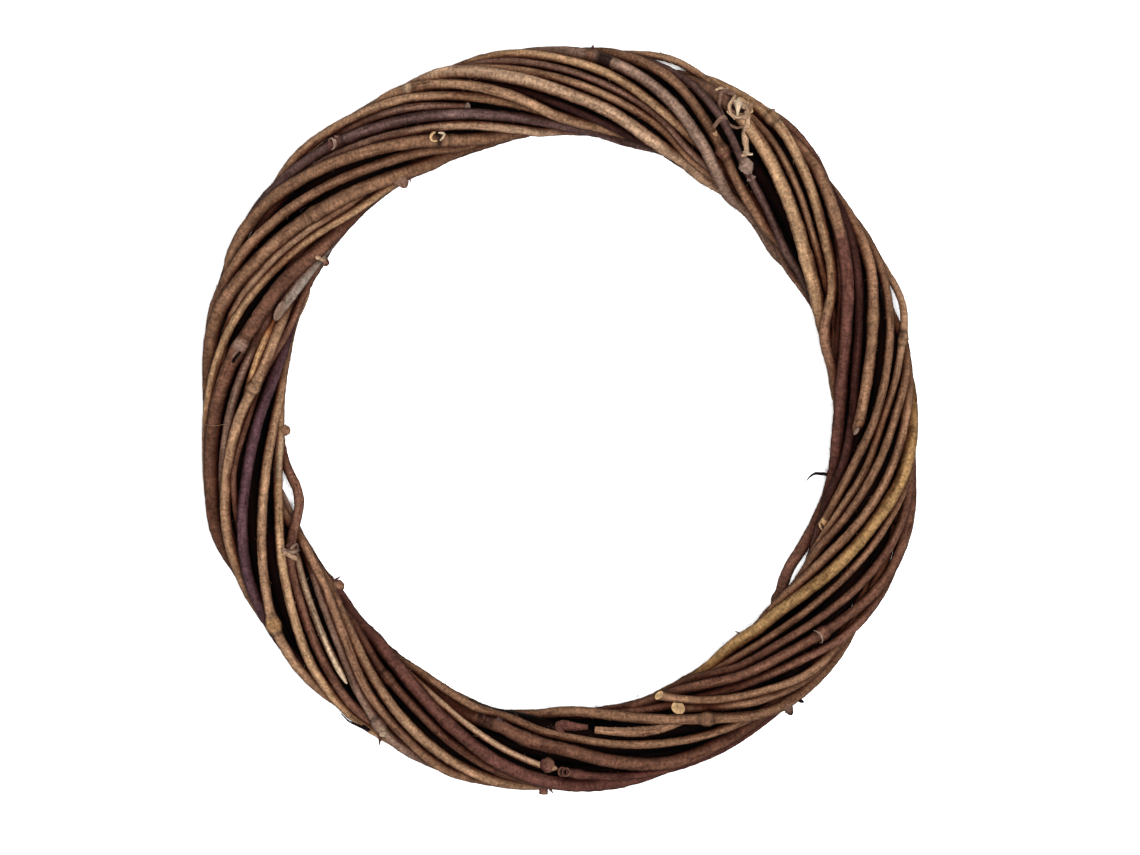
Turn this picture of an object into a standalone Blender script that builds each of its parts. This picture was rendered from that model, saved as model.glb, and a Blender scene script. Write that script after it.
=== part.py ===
# Wreath of bare smilax vines, twisted into a rope and bent to a ring that lies flat.
# Metres, +Z up. The ring's axis is Z and its underside rests at z = 0.
# Places round the ring are clock degrees: 0 at +Y and growing towards +X.
# Places across the band are in steps, counted outwards from the band's middle circle.

import math

import bmesh
import bpy
import numpy as np
from mathutils import Matrix, Vector

STEP = 0.000348
RING_MID = 323.5 * STEP
RING_OVAL = 7.0 * STEP
HALF_WIDE = 39.0 * STEP
HALF_HIGH = 34.0 * STEP
GAP = 0.00036
STATION = 9.0
END_CLEAR = 2.5
TURN_RATE = 2.57
TURN_RATE_LEAST = 1.9
TURN_RATE_MOST = 4.2
BACK_START = 62.0
BACK_END = 74.0
PASS_APART = 60.0
FRONT_BEFORE = 32.0
FRONT_AFTER = 36.0
SLOPE_REACH = 8.0
SLOPE_LEAST_SPAN = 4.0
EASE_BEFORE = 3.0
EASE_SPAN = 5.0
LIFT = 2.0 * STEP
FLOOR_PRESS = 0.0004
ROUND_UP = 1.04
FLAT_SHARE = ROUND_UP * math.cos(math.pi / 6.0)
SAG_SPREAD = ((0.15, -1), (0.7, 0), (0.15, 1))
SIDES = 6
MIDDLE_SIDES = 5
MIDDLE_RADIUS = 0.0021
MIDDLE_INSET = 0.0041
CORE_RADIUS = 0.0024
CORE_INSET = 0.0087

# Outline of the band: clock, then the inner and outer edge in steps from the ring's axis.
OUTLINE = (
    (0, 284.5, 374), (10, 284, 378), (20, 284, 380), (30, 277, 379), (40, 276.5, 376.5),
    (50, 268.5, 362), (60, 272, 364), (70, 273.5, 364), (80, 274, 356.5), (90, 274, 358),
    (100, 272, 363), (110, 271, 369.5), (120, 267.5, 367.5), (130, 276.5, 367.5), (140, 276.5, 371),
    (150, 280.5, 367.5), (160, 285, 368.5), (170, 288, 374), (180, 286.5, 369.5), (190, 291, 374),
    (200, 289, 371.5), (210, 282.5, 366), (220, 279.5, 362), (230, 273.5, 362), (240, 279, 358.5),
    (250, 273.5, 365.5), (260, 271, 363), (270, 274, 357.5), (280, 275, 361.5), (290, 279.5, 368.5),
    (300, 283.5, 374.5), (310, 288, 373.5), (320, 287, 376.5), (330, 283.5, 372), (340, 282.5, 372.5),
    (350, 283, 375),
)

# Each pass is one crossing of the front, from the outer edge to the inner edge:
# width in steps, lift in steps, then (clock, across) readings along its middle line.
PASSES = {
    "p00": (13, 2, (335, 43), (340, 39), (345, 33), (350, 20), (355, 10), (360, -1), (365, -8), (370, -18),
            (375, -27), (380, -33), (385, -37), (390, -41)),
    "p01": (8, -1, (345, 38), (350, 29), (355, 20), (360, 12), (365, 5), (370, -5), (376, -14), (380, -18)),
    "p02": (7, -2, (350, 36), (355, 30), (360, 22), (365, 14), (370, 4), (375, -5), (377, -9)),
    "p03": (9, 0, (345, 42), (350, 42), (355, 38), (360, 32), (365, 26), (370, 17), (375, 7), (377, 1),
            (379, -4)),
    "p04": (12, 3, (-4, 41), (0, 40), (4, 38), (10, 30), (15, 19), (20, 8), (25, -8), (30, -25), (35, -36),
            (40, -43), (50, -48), (60, -45)),
    "p05": (10, 2, (7, 42), (12, 41), (16, 36), (20, 27), (24, 15), (27, 3), (29, -8), (33, -19), (37, -27),
            (40, -33), (45, -38), (50, -41)),
    "p06": (8, 0, (13, 42), (18, 39), (22, 31), (25, 25), (27, 19), (31, 7), (35, -8), (38, -15), (41, -21),
            (45, -28), (50, -34), (55, -39)),
    "p07": (13, 2, (25, 36), (30, 31), (33, 25), (36, 17), (40, 9), (45, -3), (50, -13), (55, -21),
            (60, -26), (65, -31), (70, -34), (77, -38)),
    "p08": (7, 2, (8, 43), (13, 49.5), (17, 51), (20, 48), (23, 44), (26, 40), (31, 37), (35, 31), (40, 22),
            (45, 11), (50, -1), (55, -10), (60, -18)),
    "p09": (10, 1, (23, 48), (30, 47), (33, 46), (36, 44), (40, 36), (43, 30), (45, 25), (50, 13), (55, 2),
            (60, -8), (67, -18)),
    "p10": (10, 1, (36, 50), (38, 51), (42, 48), (45, 42), (50, 30), (53, 22), (57, 12), (61, 3), (65, -7)),
    "p11": (12, 2, (50, 29), (55, 18), (59, 12), (65, -2), (70, -12), (75, -21), (80, -28), (85, -33),
            (90, -36), (100, -40), (110, -43), (115, -46), (120, -47), (125, -46), (128, -43), (132, -40)),
    "p12": (9, 1, (50, 35), (55, 28), (60, 20), (65, 12), (70, 0), (75, -11), (80, -17), (83, -20),
            (93, -24), (97, -28), (100, -30), (105, -35), (110, -38), (122, -34)),
    "p13": (11, 2, (59, 34), (65, 26), (70, 15), (75, 7), (80, -2), (85, -10), (90, -17), (92, -19)),
    "p14": (8, 1, (59, 40), (65, 38), (70, 31), (75, 26), (80, 16), (85, 7), (90, -2), (95, -13), (100, -22),
            (105, -29), (112, -34)),
    "p15": (7, -1, (65, 42), (70, 45), (75, 40), (77, 38), (80, 30), (85, 19), (90, 8), (95, -2), (97, -7)),
    "p16": (8, -1, (84, 27), (89, 18), (93, 12), (100, -1), (105, -9), (110, -18)),
    "p17": (9, 0, (80, 38), (85, 34), (89, 30), (95, 24), (100, 15), (105, 6), (110, -4), (115, -16),
            (120, -24)),
    "p18": (12, 3, (80, 34), (85, 37.5), (90, 38), (93, 37), (97, 34), (100, 30), (105, 20), (110, 8),
            (115, -2),
            (120, -12), (125, -22), (130, -30), (135, -37), (140, -42), (150, -45)),
    "p19": (7, 0, (101, 36), (105, 31), (110, 22), (115, 12), (120, 4), (125, -6), (130, -14), (135, -21),
            (140, -28)),
    "p20": (8, 1, (102, 38), (107, 40), (110, 38), (113, 34), (117, 26), (120, 18), (123, 14), (127, 5),
            (130, -2), (135, -9), (140, -16), (145, -22), (150, -27)),
    "p21": (10, 2, (97, 40), (100, 44), (103, 48), (106, 49), (110, 47.5), (115, 45), (120, 38), (124, 28),
            (127, 20), (129, 17), (131, 12), (135, 2), (140, -7), (143, -12)),
    "p22": (8, 1, (116, 48), (122, 44), (125, 40), (128, 33), (130, 27), (135, 16), (140, 6), (145, -4),
            (150, -13)),
    "p23": (8, 1, (131, 35), (135, 32), (139, 24), (142, 17), (145, 7), (148, -1), (150, -8), (153, -14),
            (156, -20), (158.5, -30), (160, -37)),
    "p24": (8, 1, (136, 35), (140, 29), (143, 21), (146, 13), (149, 4), (152, -4), (155, -12), (157.5, -18)),
    "p25": (10, 2, (128, 41), (131, 44), (135, 43), (140, 40), (143, 35), (147, 27), (150, 18), (152, 12),
            (153.5, 3), (157, -3), (160, -10), (163, -18), (167, -26), (170, -31), (175, -37), (180, -41)),
    "p26": (8, -2, (155, 20), (160, 12), (165, 5), (170, -2), (175, -9), (181, -19)),
    "p27": (13, 1, (155, 38), (160, 33), (165, 26), (170, 16), (175, 6), (180, -6), (185, -17), (190, -25),
            (193, -30)),
    "p28": (6.5, 2, (182.5, 18), (185, 12), (190, 2), (195, -8), (200, -18), (205, -28), (210, -35),
            (215, -41)),
    "p29": (13, 1, (172, 41), (179, 33), (182, 29), (185, 25), (190, 15), (195, 4), (200, -6), (205, -17),
            (210, -27), (215, -33), (220, -38), (225, -41), (230, -44)),
    "p30": (8.5, 0, (182, 39), (186, 31), (190, 26), (195, 17), (200, 8), (205, -4), (210, -12), (214, -18),
            (220, -28), (225, -34), (230, -37)),
    "p31": (10, 1, (183, 40), (190, 36), (195, 31), (200, 24), (205, 14), (210, 5), (215, -7), (220, -18),
            (225, -27), (230, -34), (235, -38)),
    "p32": (9, 1, (197, 40), (200, 35), (205, 26), (210, 16), (215, 5), (220, -8), (225, -20), (230, -31)),
    "p33": (9, 0, (209, 33), (210, 28), (212.5, 22), (215, 15), (217.5, 9), (220, 3), (225, -11), (230, -20),
            (235, -28), (240, -33), (243, -34)),
    "p34": (9, 1, (213, 34), (218, 23), (220, 20), (225, 13), (230, 4), (235, -5), (240, -12), (243.5, -18),
            (245, -26), (248, -35), (252, -41.5), (257, -43.5), (262, -41.5), (266, -38)),
    "p35": (9, 1, (216, 35), (220, 30), (225, 24), (230, 14), (235, 5), (240, -4), (245, -13), (250, -20),
            (255, -26), (260, -30), (265, -34)),
    "p36": (9.5, 1, (225, 37), (229, 36), (233, 33), (234.3, 29), (238, 21), (240, 17), (245, 8), (250, -2),
            (255, -12), (260, -19), (265, -26), (270, -31), (275, -35), (280, -38), (285, -39)),
    "p37": (11, 0, (236, 37), (240, 34), (245, 26), (250, 18), (255, 10), (260, 0), (265, -9), (270, -16),
            (275, -23), (280, -28), (285, -32), (290, -35), (295, -36)),
    "p38": (6.5, -1, (253, 19), (258, 15), (262, 11), (265, 4), (270, -4)),
    "p39": (10, 2, (245, 40), (248, 37), (250, 34), (255, 28), (260, 20), (265, 12), (270, 3), (273, -3),
            (276, -11), (280, -17), (285, -22), (290, -27), (295, -31)),
    "p40": (8.5, -1, (262, 24), (265, 21), (268, 17), (270, 14), (275, 7), (280, 2), (282, -1), (285, -5),
            (288, -8)),
    "p41": (14, 2, (245, 42), (250, 44), (255, 42), (260, 37), (265, 33), (270, 29), (275, 24), (280, 15),
            (283, 8), (285, 5), (290, -3), (295, -9), (300, -18), (305, -26), (310, -32), (315, -35)),
    "p42": (8, 0, (279, 31), (285, 25), (290, 18), (295, 9), (300, -1), (305, -11), (310, -21), (315, -28),
            (319, -34)),
    "p43": (8, 0, (283, 33), (285, 31), (290, 26), (295, 17), (300, 8), (305, -2), (310, -12), (315, -22),
            (320, -30)),
    "p44": (14, 2, (277, 39), (285, 39), (290, 34), (295, 26), (300, 17), (305, 8), (310, -1), (315, -12),
            (320, -21), (325, -29), (330, -36), (335, -41), (340, -43), (345, -44), (350, -43)),
    "p45": (10, 1, (285, 47), (288, 47), (290, 45), (295, 40), (300, 34), (305, 27), (310, 18), (315, 7),
            (320, -4), (325, -13), (330, -21), (334, -27)),
    "p46": (12, 2, (296, 49), (300, 51), (305, 46), (310, 38), (315, 26), (320, 15), (325, 3), (330, -7),
            (333, -13), (336, -20), (340, -26), (342, -31)),
    "p47": (9, 0, (311, 36), (315, 30), (320, 22), (325, 13), (330, 3), (335, -6), (340, -15), (345, -25),
            (350, -33), (355, -38), (360, -43)),
    "p48": (11, 0, (305, 49), (310, 45), (315, 40), (320, 33), (325, 24), (330, 15), (335, 7), (340, -3),
            (345, -12), (350, -21), (355, -28), (360, -33)),
    "p49": (7.5, 0, (325, 35), (330, 26), (335, 17), (340, 6), (343.8, -3)),
    "p50": (9, 1, (311, 50), (315, 51), (320, 47), (325, 42), (330, 37), (335, 31), (340, 20), (345, 8),
            (350, -5), (353, -12)),
    "p51": (10, 3, (327, 43), (335, 38), (340, 29), (345, 17), (350, 3), (355, -13), (360, -26), (363, -32),
            (366, -41)),
    "p52": (7.5, -1, (340, 36), (345, 24), (350, 11), (355, -4), (360, -14), (365, -24), (370, -31),
            (380, -42), (390, -46)),
    "q00": (7, 2, (219, 11), (221.5, 8), (225, 1), (230, -7), (235, -14), (240, -20), (243.5, -25)),
    "q01": (7.5, 1, (272, -3), (278, -7), (282, -9), (286, -13), (290, -17)),
    "q02": (10, 1, (291.5, -18), (295, -23), (300, -28), (304, -31), (312, -35), (318, -38)),
    "q03": (7, 0, (152, 41), (160, 38), (165, 35), (170, 31), (175, 27), (179.5, 21)),
}

# Each vine: the passes it makes in turn, and the clock places of its visible cut ends.
VINES = {
    "vine_01": (("p28", "p49"), 182.5, 343.8),
    "vine_02": (("p17", "p38", "p06"), None, None),
    "vine_03": (("p27", "p48", "p16"), None, None),
    "vine_04": (("p37", "p05"), None, None),
    "vine_05": (("p26", "p47", "p15"), None, None),
    "vine_06": (("p36", "p04"), None, None),
    "vine_07": (("p25", "p46", "p14"), None, 112.0),
    "vine_08": (("p35", "p03", "p24"), None, 157.5),
    "vine_09": (("p45", "p13"), None, 92.0),
    "vine_10": (("p34", "p02", "p23"), None, 160.0),
    "vine_11": (("p44", "p12", "p33"), None, None),
    "vine_12": (("p01", "p22", "p43"), None, None),
    "vine_13": (("p11", "p32", "p00"), None, None),
    "vine_14": (("p21", "p42", "p10"), None, None),
    "vine_15": (("p31", "p52", "p20"), None, None),
    "vine_16": (("p41", "p09", "p30"), None, None),
    "vine_17": (("p51", "p19", "p40"), None, None),
    "vine_18": (("p08", "p29", "p50"), None, None),
    "vine_19": (("p18", "p39", "p07"), None, None),
    "twig_01": (("q00",), 219.0, 243.5),
    "twig_02": (("q01",), 272.0, 290.0),
    "twig_03": (("q02",), 291.5, 335.0),
    "twig_04": (("q03",), 133.0, 179.5),
}

# Swellings on a vine: pass, clock, extra width in steps.
KNOBS = (
    ("p04", 5.0, 3.0), ("p08", 28.0, 2.5), ("p05", 31.0, 2.0), ("p09", 35.0, 3.5), ("p15", 76.0, 2.0),
    ("p18", 104.0, 2.0), ("p21", 129.0, 4.0), ("p25", 153.5, 3.5), ("q03", 177.0, 4.0),
    ("p27", 186.0, 2.0), ("p33", 211.0, 3.5), ("p30", 214.0, 2.0), ("p36", 234.3, 4.0),
    ("p34", 244.0, 4.0), ("p39", 276.0, 3.0), ("q02", 304.0, 3.0), ("p44", 310.0, 2.0),
    ("p48", 321.5, 4.0), ("p51", 336.0, 1.0), ("p46", 336.0, 3.0), ("p11", 84.0, 2.0),
    ("p07", 57.0, 2.0), ("p13", 72.0, 2.0), ("p41", 282.0, 2.5), ("p29", 200.0, 1.5),
)
KNOB_HALF = 1.3
KNOB_CLEAR = 0.6

# Thorns, buds and stub twigs: pass, clock, length, base width and tip width in steps,
# then the way it points: outwards across the band, upwards, and along the vine.
THORNS = (
    ("p04", 5.0, 11, 5, 1.5, (1.0, 0.3, 0.2)),
    ("p08", 15.0, 8, 3, 1.0, (1.0, 0.0, 0.5)),
    ("p08", 27.0, 12, 4, 1.5, (1.0, 0.5, -0.7)),
    ("p08", 29.0, 13, 4, 2.0, (0.9, 0.6, 0.9)),
    ("p09", 35.5, 13, 5, 2.5, (1.0, 0.3, 0.8)),
    ("p10", 44.5, 9, 3, 1.0, (1.0, 0.1, -0.4)),
    ("p15", 75.0, 8, 3, 1.0, (1.0, 0.2, 0.2)),
    ("p25", 141.3, 11, 6, 3.0, (1.0, 0.2, 0.3)),
    ("p18", 139.5, 9, 3, 1.0, (-1.0, 0.2, 0.3)),
    ("p31", 183.0, 10, 7, 5.0, (1.0, 0.3, -0.2)),
    ("p33", 210.0, 14, 5, 1.2, (1.0, 0.4, -0.4)),
    ("p29", 229.0, 12, 7, 2.0, (-1.0, 0.0, 1.2)),
    ("p34", 244.5, 10, 7, 4.0, (-0.5, 0.9, -0.5)),
    ("p34", 266.0, 10, 8, 6.0, (-1.0, 0.1, 0.3)),
    ("q02", 304.5, 9, 6, 4.0, (-1.0, 0.4, -0.3)),
    ("p48", 321.8, 11, 9, 7.0, (0.5, 0.9, -0.8)),
    ("p46", 336.3, 10, 9, 7.0, (0.1, 1.0, -0.4)),
    ("p51", 335.5, 8, 5, 4.0, (0.0, 1.0, -0.3)),
    ("p44", 329.0, 12, 6, 2.0, (-1.0, 0.1, -0.4)),
    ("p39", 276.5, 8, 5, 3.0, (-0.4, 1.0, 0.4)),
    ("p21", 129.0, 8, 8, 6.0, (0.3, 1.0, 0.5)),
)

# Dry tendrils: pass, clock of the root, width in steps, then (clock, across, height) readings.
TENDRILS = (
    ("p11", 101.5, 2.2, ((101.5, -41, 0), (101.4, -47, 1), (101.4, -52, 3), (102.2, -57, 3), (104.2, -62, 1))),
    ("p35", 214.0, 2.2, ((215.5, 33, 0), (213.0, 37, 5), (212.8, 41, 7), (214.0, 45, 7), (216.0, 45, 5),
                         (218.5, 43, 2))),
    ("p08", 28.0, 2.4, ((28.0, 40, 0), (28.5, 46, 6), (30.0, 50, 9), (31.5, 49, 6))),
)

# Bark colours by name, and the vine or twig each one dresses.
BARK = {
    "golden": ((0.42, 0.27, 0.13), 0.72),
    "tan": ((0.36, 0.23, 0.13), 0.70),
    "brown": ((0.20, 0.11, 0.07), 0.58),
    "umber": ((0.13, 0.07, 0.05), 0.55),
    "plum": ((0.15, 0.09, 0.09), 0.50),
    "straw": ((0.50, 0.36, 0.21), 0.75),
    "shadow": ((0.07, 0.035, 0.03), 0.60),
}
DRESS = {
    "vine_01": "straw", "vine_02": "golden", "vine_03": "brown", "vine_04": "plum", "vine_05": "tan",
    "vine_06": "tan", "vine_07": "brown", "vine_08": "golden", "vine_09": "golden", "vine_10": "tan",
    "vine_11": "brown", "vine_12": "tan", "vine_13": "tan", "vine_14": "umber", "vine_15": "tan",
    "vine_16": "brown", "vine_17": "straw", "vine_18": "brown", "vine_19": "golden",
    "twig_01": "straw", "twig_02": "straw", "twig_03": "plum", "twig_04": "umber",
    "middle_01": "umber", "middle_02": "plum", "middle_03": "umber", "middle_04": "shadow",
    "core_01": "shadow", "core_02": "shadow",
}

# Vines of the second layer and the core: slot phase, clock of the start, rounds.
INNER_END_CLEAR = 7.0
MIDDLE_TURNS = 2.6
CORE_TURNS = 2.5
MIDDLE_VINES = {
    "middle_01": (0.0, 15.0, 2.0),
    "middle_02": (0.0, 750.0, 3.0),
    "middle_03": (36.0, 190.0, 2.0),
    "middle_04": (36.0, 925.0, 3.0),
}
CORE_VINES = {
    "core_01": (20.0, 100.0, 2.0),
    "core_02": (110.0, 290.0, 2.0),
}

# How the vines are settled: rounds of each stage, then the strength of each move in a round.
ROUNDS_RELAX = 300
ROUNDS_SEPARATE = 800
ROUNDS_HOLD = 450
ROUNDS_LET_GO = 100
NEAR = 0.011
NEAR_EVERY = 20
PUSH = 0.9
PULL = 0.12
READ_PULL = 0.5
HOLD = 0.03
SMOOTH = 0.10
DRAW_ACROSS = 0.004
DRAW_HEIGHT = 0.008
LEAST_SHARE = 0.6

# Growths: sides of a thorn, how far down it is rooted, its middle ring, and how far it bends up.
THORN_SIDES = 5
THORN_ROOT = 0.3
THORN_RINGS = ((0.0, 1.0), (0.55, 0.8))
THORN_BEND = 0.0004
TENDRIL_SIDES = 3
TENDRIL_TAPER = 0.6


def ring_radius(clock):
    """Radius of the band's middle circle."""
    return RING_MID + RING_OVAL * np.cos(2.0 * np.radians(clock))


def place(clock, across, height):
    """Turn clock, across and height into x, y, z."""
    angle = np.radians(clock)
    radius = ring_radius(clock) + across
    return np.stack((radius * np.sin(angle), radius * np.cos(angle), height), axis=-1)


def pass_crossing(readings):
    """Clock where a pass crosses the band's middle, and its slope there in steps per degree."""
    clocks = np.array([reading[0] for reading in readings], dtype=float)
    across = np.array([reading[1] for reading in readings], dtype=float)
    near = 0 if across[0] <= 0.0 else -2
    slope = (across[near + 1] - across[near]) / (clocks[near + 1] - clocks[near])
    middle = float(clocks[near] - across[near] / slope)
    if across[0] > 0.0 > across[-1]:
        middle = float(np.interp(0.0, -across, clocks))
    before = float(np.interp(middle - SLOPE_REACH, clocks, across))
    after = float(np.interp(middle + SLOPE_REACH, clocks, across))
    span = min(middle + SLOPE_REACH, clocks[-1]) - max(middle - SLOPE_REACH, clocks[0])
    if span < SLOPE_LEAST_SPAN:
        return middle, slope
    return middle, (after - before) / span


def hermite(clock, knots):
    """Phase at a clock place, on a smooth curve through knots of (clock, phase, rate)."""
    if clock <= knots[0][0]:
        return knots[0][1] + (clock - knots[0][0]) * knots[0][2]
    if clock >= knots[-1][0]:
        return knots[-1][1] + (clock - knots[-1][0]) * knots[-1][2]
    index = max(i for i in range(len(knots) - 1) if knots[i][0] <= clock)
    start, end = knots[index], knots[index + 1]
    span = end[0] - start[0]
    t = (clock - start[0]) / span
    h00 = (1 + 2 * t) * (1 - t) ** 2
    h10 = t * (1 - t) ** 2
    h01 = t * t * (3 - 2 * t)
    h11 = t * t * (t - 1)
    return h00 * start[1] + h10 * span * start[2] + h01 * end[1] + h11 * span * end[2]


def station_list(start, end):
    """Clock places of a vine's rings: its two ends and the cross-planes between."""
    first = math.ceil((start + END_CLEAR) / STATION)
    last = math.floor((end - END_CLEAR) / STATION)
    return [start] + [STATION * k for k in range(first, last + 1)] + [end]


def vine_knots(names):
    """For each pass a vine makes: its crossing clock, phase, rate and the turns added to its readings."""
    knots = []
    shifts = []
    for count, name in enumerate(names):
        crossing, slope = pass_crossing(PASSES[name][2:])
        shift = 0.0
        while knots and crossing + shift < knots[-1][0] + PASS_APART:
            shift += 360.0
        rate = math.degrees(-slope * STEP / HALF_WIDE)
        rate = min(max(rate, TURN_RATE_LEAST), TURN_RATE_MOST)
        knots.append((crossing + shift, 90.0 + 360.0 * count, rate))
        shifts.append(shift)
    return knots, shifts


def vine_widths(clocks, names, knots):
    """Radius of a vine at each ring: steady on the front, changing on the underside."""
    stops = []
    values = []
    for knot, name in zip(knots, names):
        stops += [knot[0] - FRONT_BEFORE, knot[0] + FRONT_AFTER]
        values += [PASSES[name][0] * STEP / 2.0] * 2
    return np.interp(clocks, stops, values)


def pass_pull(clocks, readings, shift):
    """Wanted across place at each ring, and how strongly it is wanted."""
    places = np.array([reading[0] + shift for reading in readings], dtype=float)
    across = np.array([reading[1] * STEP for reading in readings], dtype=float)
    inside = np.minimum(clocks - places[0], places[-1] - clocks)
    weight = np.clip((inside + EASE_BEFORE) / EASE_SPAN, 0.0, 1.0)
    return np.interp(clocks, places, across), weight


def lay_surface_vine(names, start, end):
    """First path of a surface vine, before it is settled among the others."""
    knots, shifts = vine_knots(names)
    start = knots[0][0] - BACK_START if start is None else start
    end = knots[-1][0] + BACK_END if end is None else end + shifts[-1]
    clocks = np.array(station_list(start, end))
    phase = np.radians([hermite(clock, knots) for clock in clocks])
    across = HALF_WIDE * np.cos(phase)
    height = HALF_HIGH * np.sin(phase)
    wanted = np.zeros(len(clocks))
    pull = np.zeros(len(clocks))
    for name, shift in zip(names, shifts):
        target, weight = pass_pull(clocks, PASSES[name][2:], shift)
        wanted = np.where(weight > 0.0, target, wanted)
        pull = np.maximum(pull, weight)
        height = height + weight * PASSES[name][1] * LIFT
    across = across + pull * (wanted - across)
    radius = vine_widths(clocks, names, knots)
    room = np.zeros(len(clocks))
    for name, clock, extra in KNOBS:
        if name in names:
            away = np.abs(clocks - clock - shifts[names.index(name)])
            room = np.maximum(room, extra * STEP / 2.0 * np.clip(1.0 - away / (2.0 * STATION), 0.0, 1.0))
    return {"clock": clocks, "across": across, "height": height, "radius": radius, "room": room,
            "wanted": wanted, "pull": pull, "rate": TURN_RATE}


def lay_inner_vine(slot, start, rounds, turns, inset, radius):
    """Path of a vine of the second layer or the core."""
    clocks = np.array(station_list(start, start + 360.0 * rounds - INNER_END_CLEAR))
    phase = np.radians(slot + clocks * turns)
    across = (HALF_WIDE - inset) * np.cos(phase)
    height = (HALF_HIGH - inset) * np.sin(phase)
    return {"clock": clocks, "across": across, "height": height,
            "radius": np.full(len(clocks), radius), "room": np.zeros(len(clocks)),
            "wanted": across.copy(), "pull": np.zeros(len(clocks)), "rate": turns}


def lay_all():
    """First paths of every vine, by name."""
    paths = {name: lay_surface_vine(*vine) for name, vine in VINES.items()}
    for name, (slot, start, rounds) in MIDDLE_VINES.items():
        paths[name] = lay_inner_vine(slot, start, rounds, MIDDLE_TURNS, MIDDLE_INSET, MIDDLE_RADIUS)
    for name, (slot, start, rounds) in CORE_VINES.items():
        paths[name] = lay_inner_vine(slot, start, rounds, CORE_TURNS, CORE_INSET, CORE_RADIUS)
    return paths


def joined(paths, key):
    """One array of a value along all vines, end to end."""
    return np.concatenate([path[key] for path in paths.values()])


def segment_starts(paths):
    """Index of the first ring of every segment, and the vine each one is on."""
    starts = []
    owners = []
    offset = 0
    for owner, path in enumerate(paths.values()):
        count = len(path["clock"])
        starts += range(offset, offset + count - 1)
        owners += [owner] * (count - 1)
        offset += count
    return np.array(starts), np.array(owners)


def candidate_pairs(clock, starts, owners):
    """Pairs of segments that lie in the same or the next cross-slab."""
    middle = (clock[starts] + clock[starts + 1]) / 2.0
    slab = np.floor(np.mod(middle, 360.0) / STATION).astype(int)
    count = int(round(360.0 / STATION))
    step = np.abs(slab[:, None] - slab[None, :])
    step = np.minimum(step, count - step)
    same = (owners[:, None] == owners[None, :]) & (np.abs(starts[:, None] - starts[None, :]) <= 1)
    order = np.arange(len(starts))
    first, second = np.nonzero((step <= 1) & ~same & (order[:, None] < order[None, :]))
    return starts[first], starts[second]


def dot(left, right):
    """Dot product of each pair of rows."""
    return np.einsum("ij,ij->i", left, right)


def closest(points, first, second):
    """Closest places of two segments: shares along each, the vector between, its length."""
    one = points[first + 1] - points[first]
    two = points[second + 1] - points[second]
    between = points[first] - points[second]
    a, e, b = dot(one, one), dot(two, two), dot(one, two)
    c, f = dot(one, between), dot(two, between)
    spread = a * e - b * b
    share = np.clip((b * f - c * e) / np.maximum(spread, 1e-4 * a * e), 0.0, 1.0)
    other = np.clip((b * share + f) / e, 0.0, 1.0)
    share = np.clip((b * other - c) / a, 0.0, 1.0)
    gap = between + one * share[:, None] - two * other[:, None]
    return share, other, gap, np.sqrt(dot(gap, gap))


def push_apart(points, radius, first, second, strength):
    """Moves that part overlapping segments, averaged over each ring's contacts."""
    share, other, gap, length = closest(points, first, second)
    size_one = radius[first] * (1 - share) + radius[first + 1] * share
    size_two = radius[second] * (1 - other) + radius[second + 1] * other
    lack = size_one + size_two + GAP - length
    close = lack > 0.0
    share, other, lack = share[close], other[close], lack[close]
    way = gap[close] / np.maximum(length[close], 1e-7)[:, None]
    first, second = first[close], second[close]
    scale = strength * 0.5 * lack
    moves = np.zeros_like(points)
    counts = np.zeros(len(points))
    weights = ((first, 1 - share, 1.0), (first + 1, share, 1.0), (second, 1 - other, -1.0),
               (second + 1, other, -1.0))
    for index, weight, sign in weights:
        np.add.at(moves, index, sign * (scale * weight)[:, None] * way)
        np.add.at(counts, index, weight)
    return moves / np.maximum(counts, LEAST_SHARE)[:, None], float(lack.max()) if len(lack) else 0.0


def smooth_move(values, ends, bend):
    """Move of each ring towards the curve its neighbours make."""
    move = np.zeros_like(values)
    middle = (values[:-2] + values[2:]) / (2.0 * bend[1:-1]) - values[1:-1]
    move[1:-1] = middle
    move[ends] = 0.0
    return move


def edge_limits(clock, radius):
    """Least and greatest across place of each ring inside the band's outline."""
    clocks = np.array([row[0] for row in OUTLINE] + [360.0])
    inner = np.array([row[1] for row in OUTLINE] + [OUTLINE[0][1]]) * STEP
    outer = np.array([row[2] for row in OUTLINE] + [OUTLINE[0][2]]) * STEP
    turned = np.mod(clock, 360.0)
    middle = ring_radius(clock)
    return (np.interp(turned, clocks, inner) - middle + radius,
            np.interp(turned, clocks, outer) - middle - radius)


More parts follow.
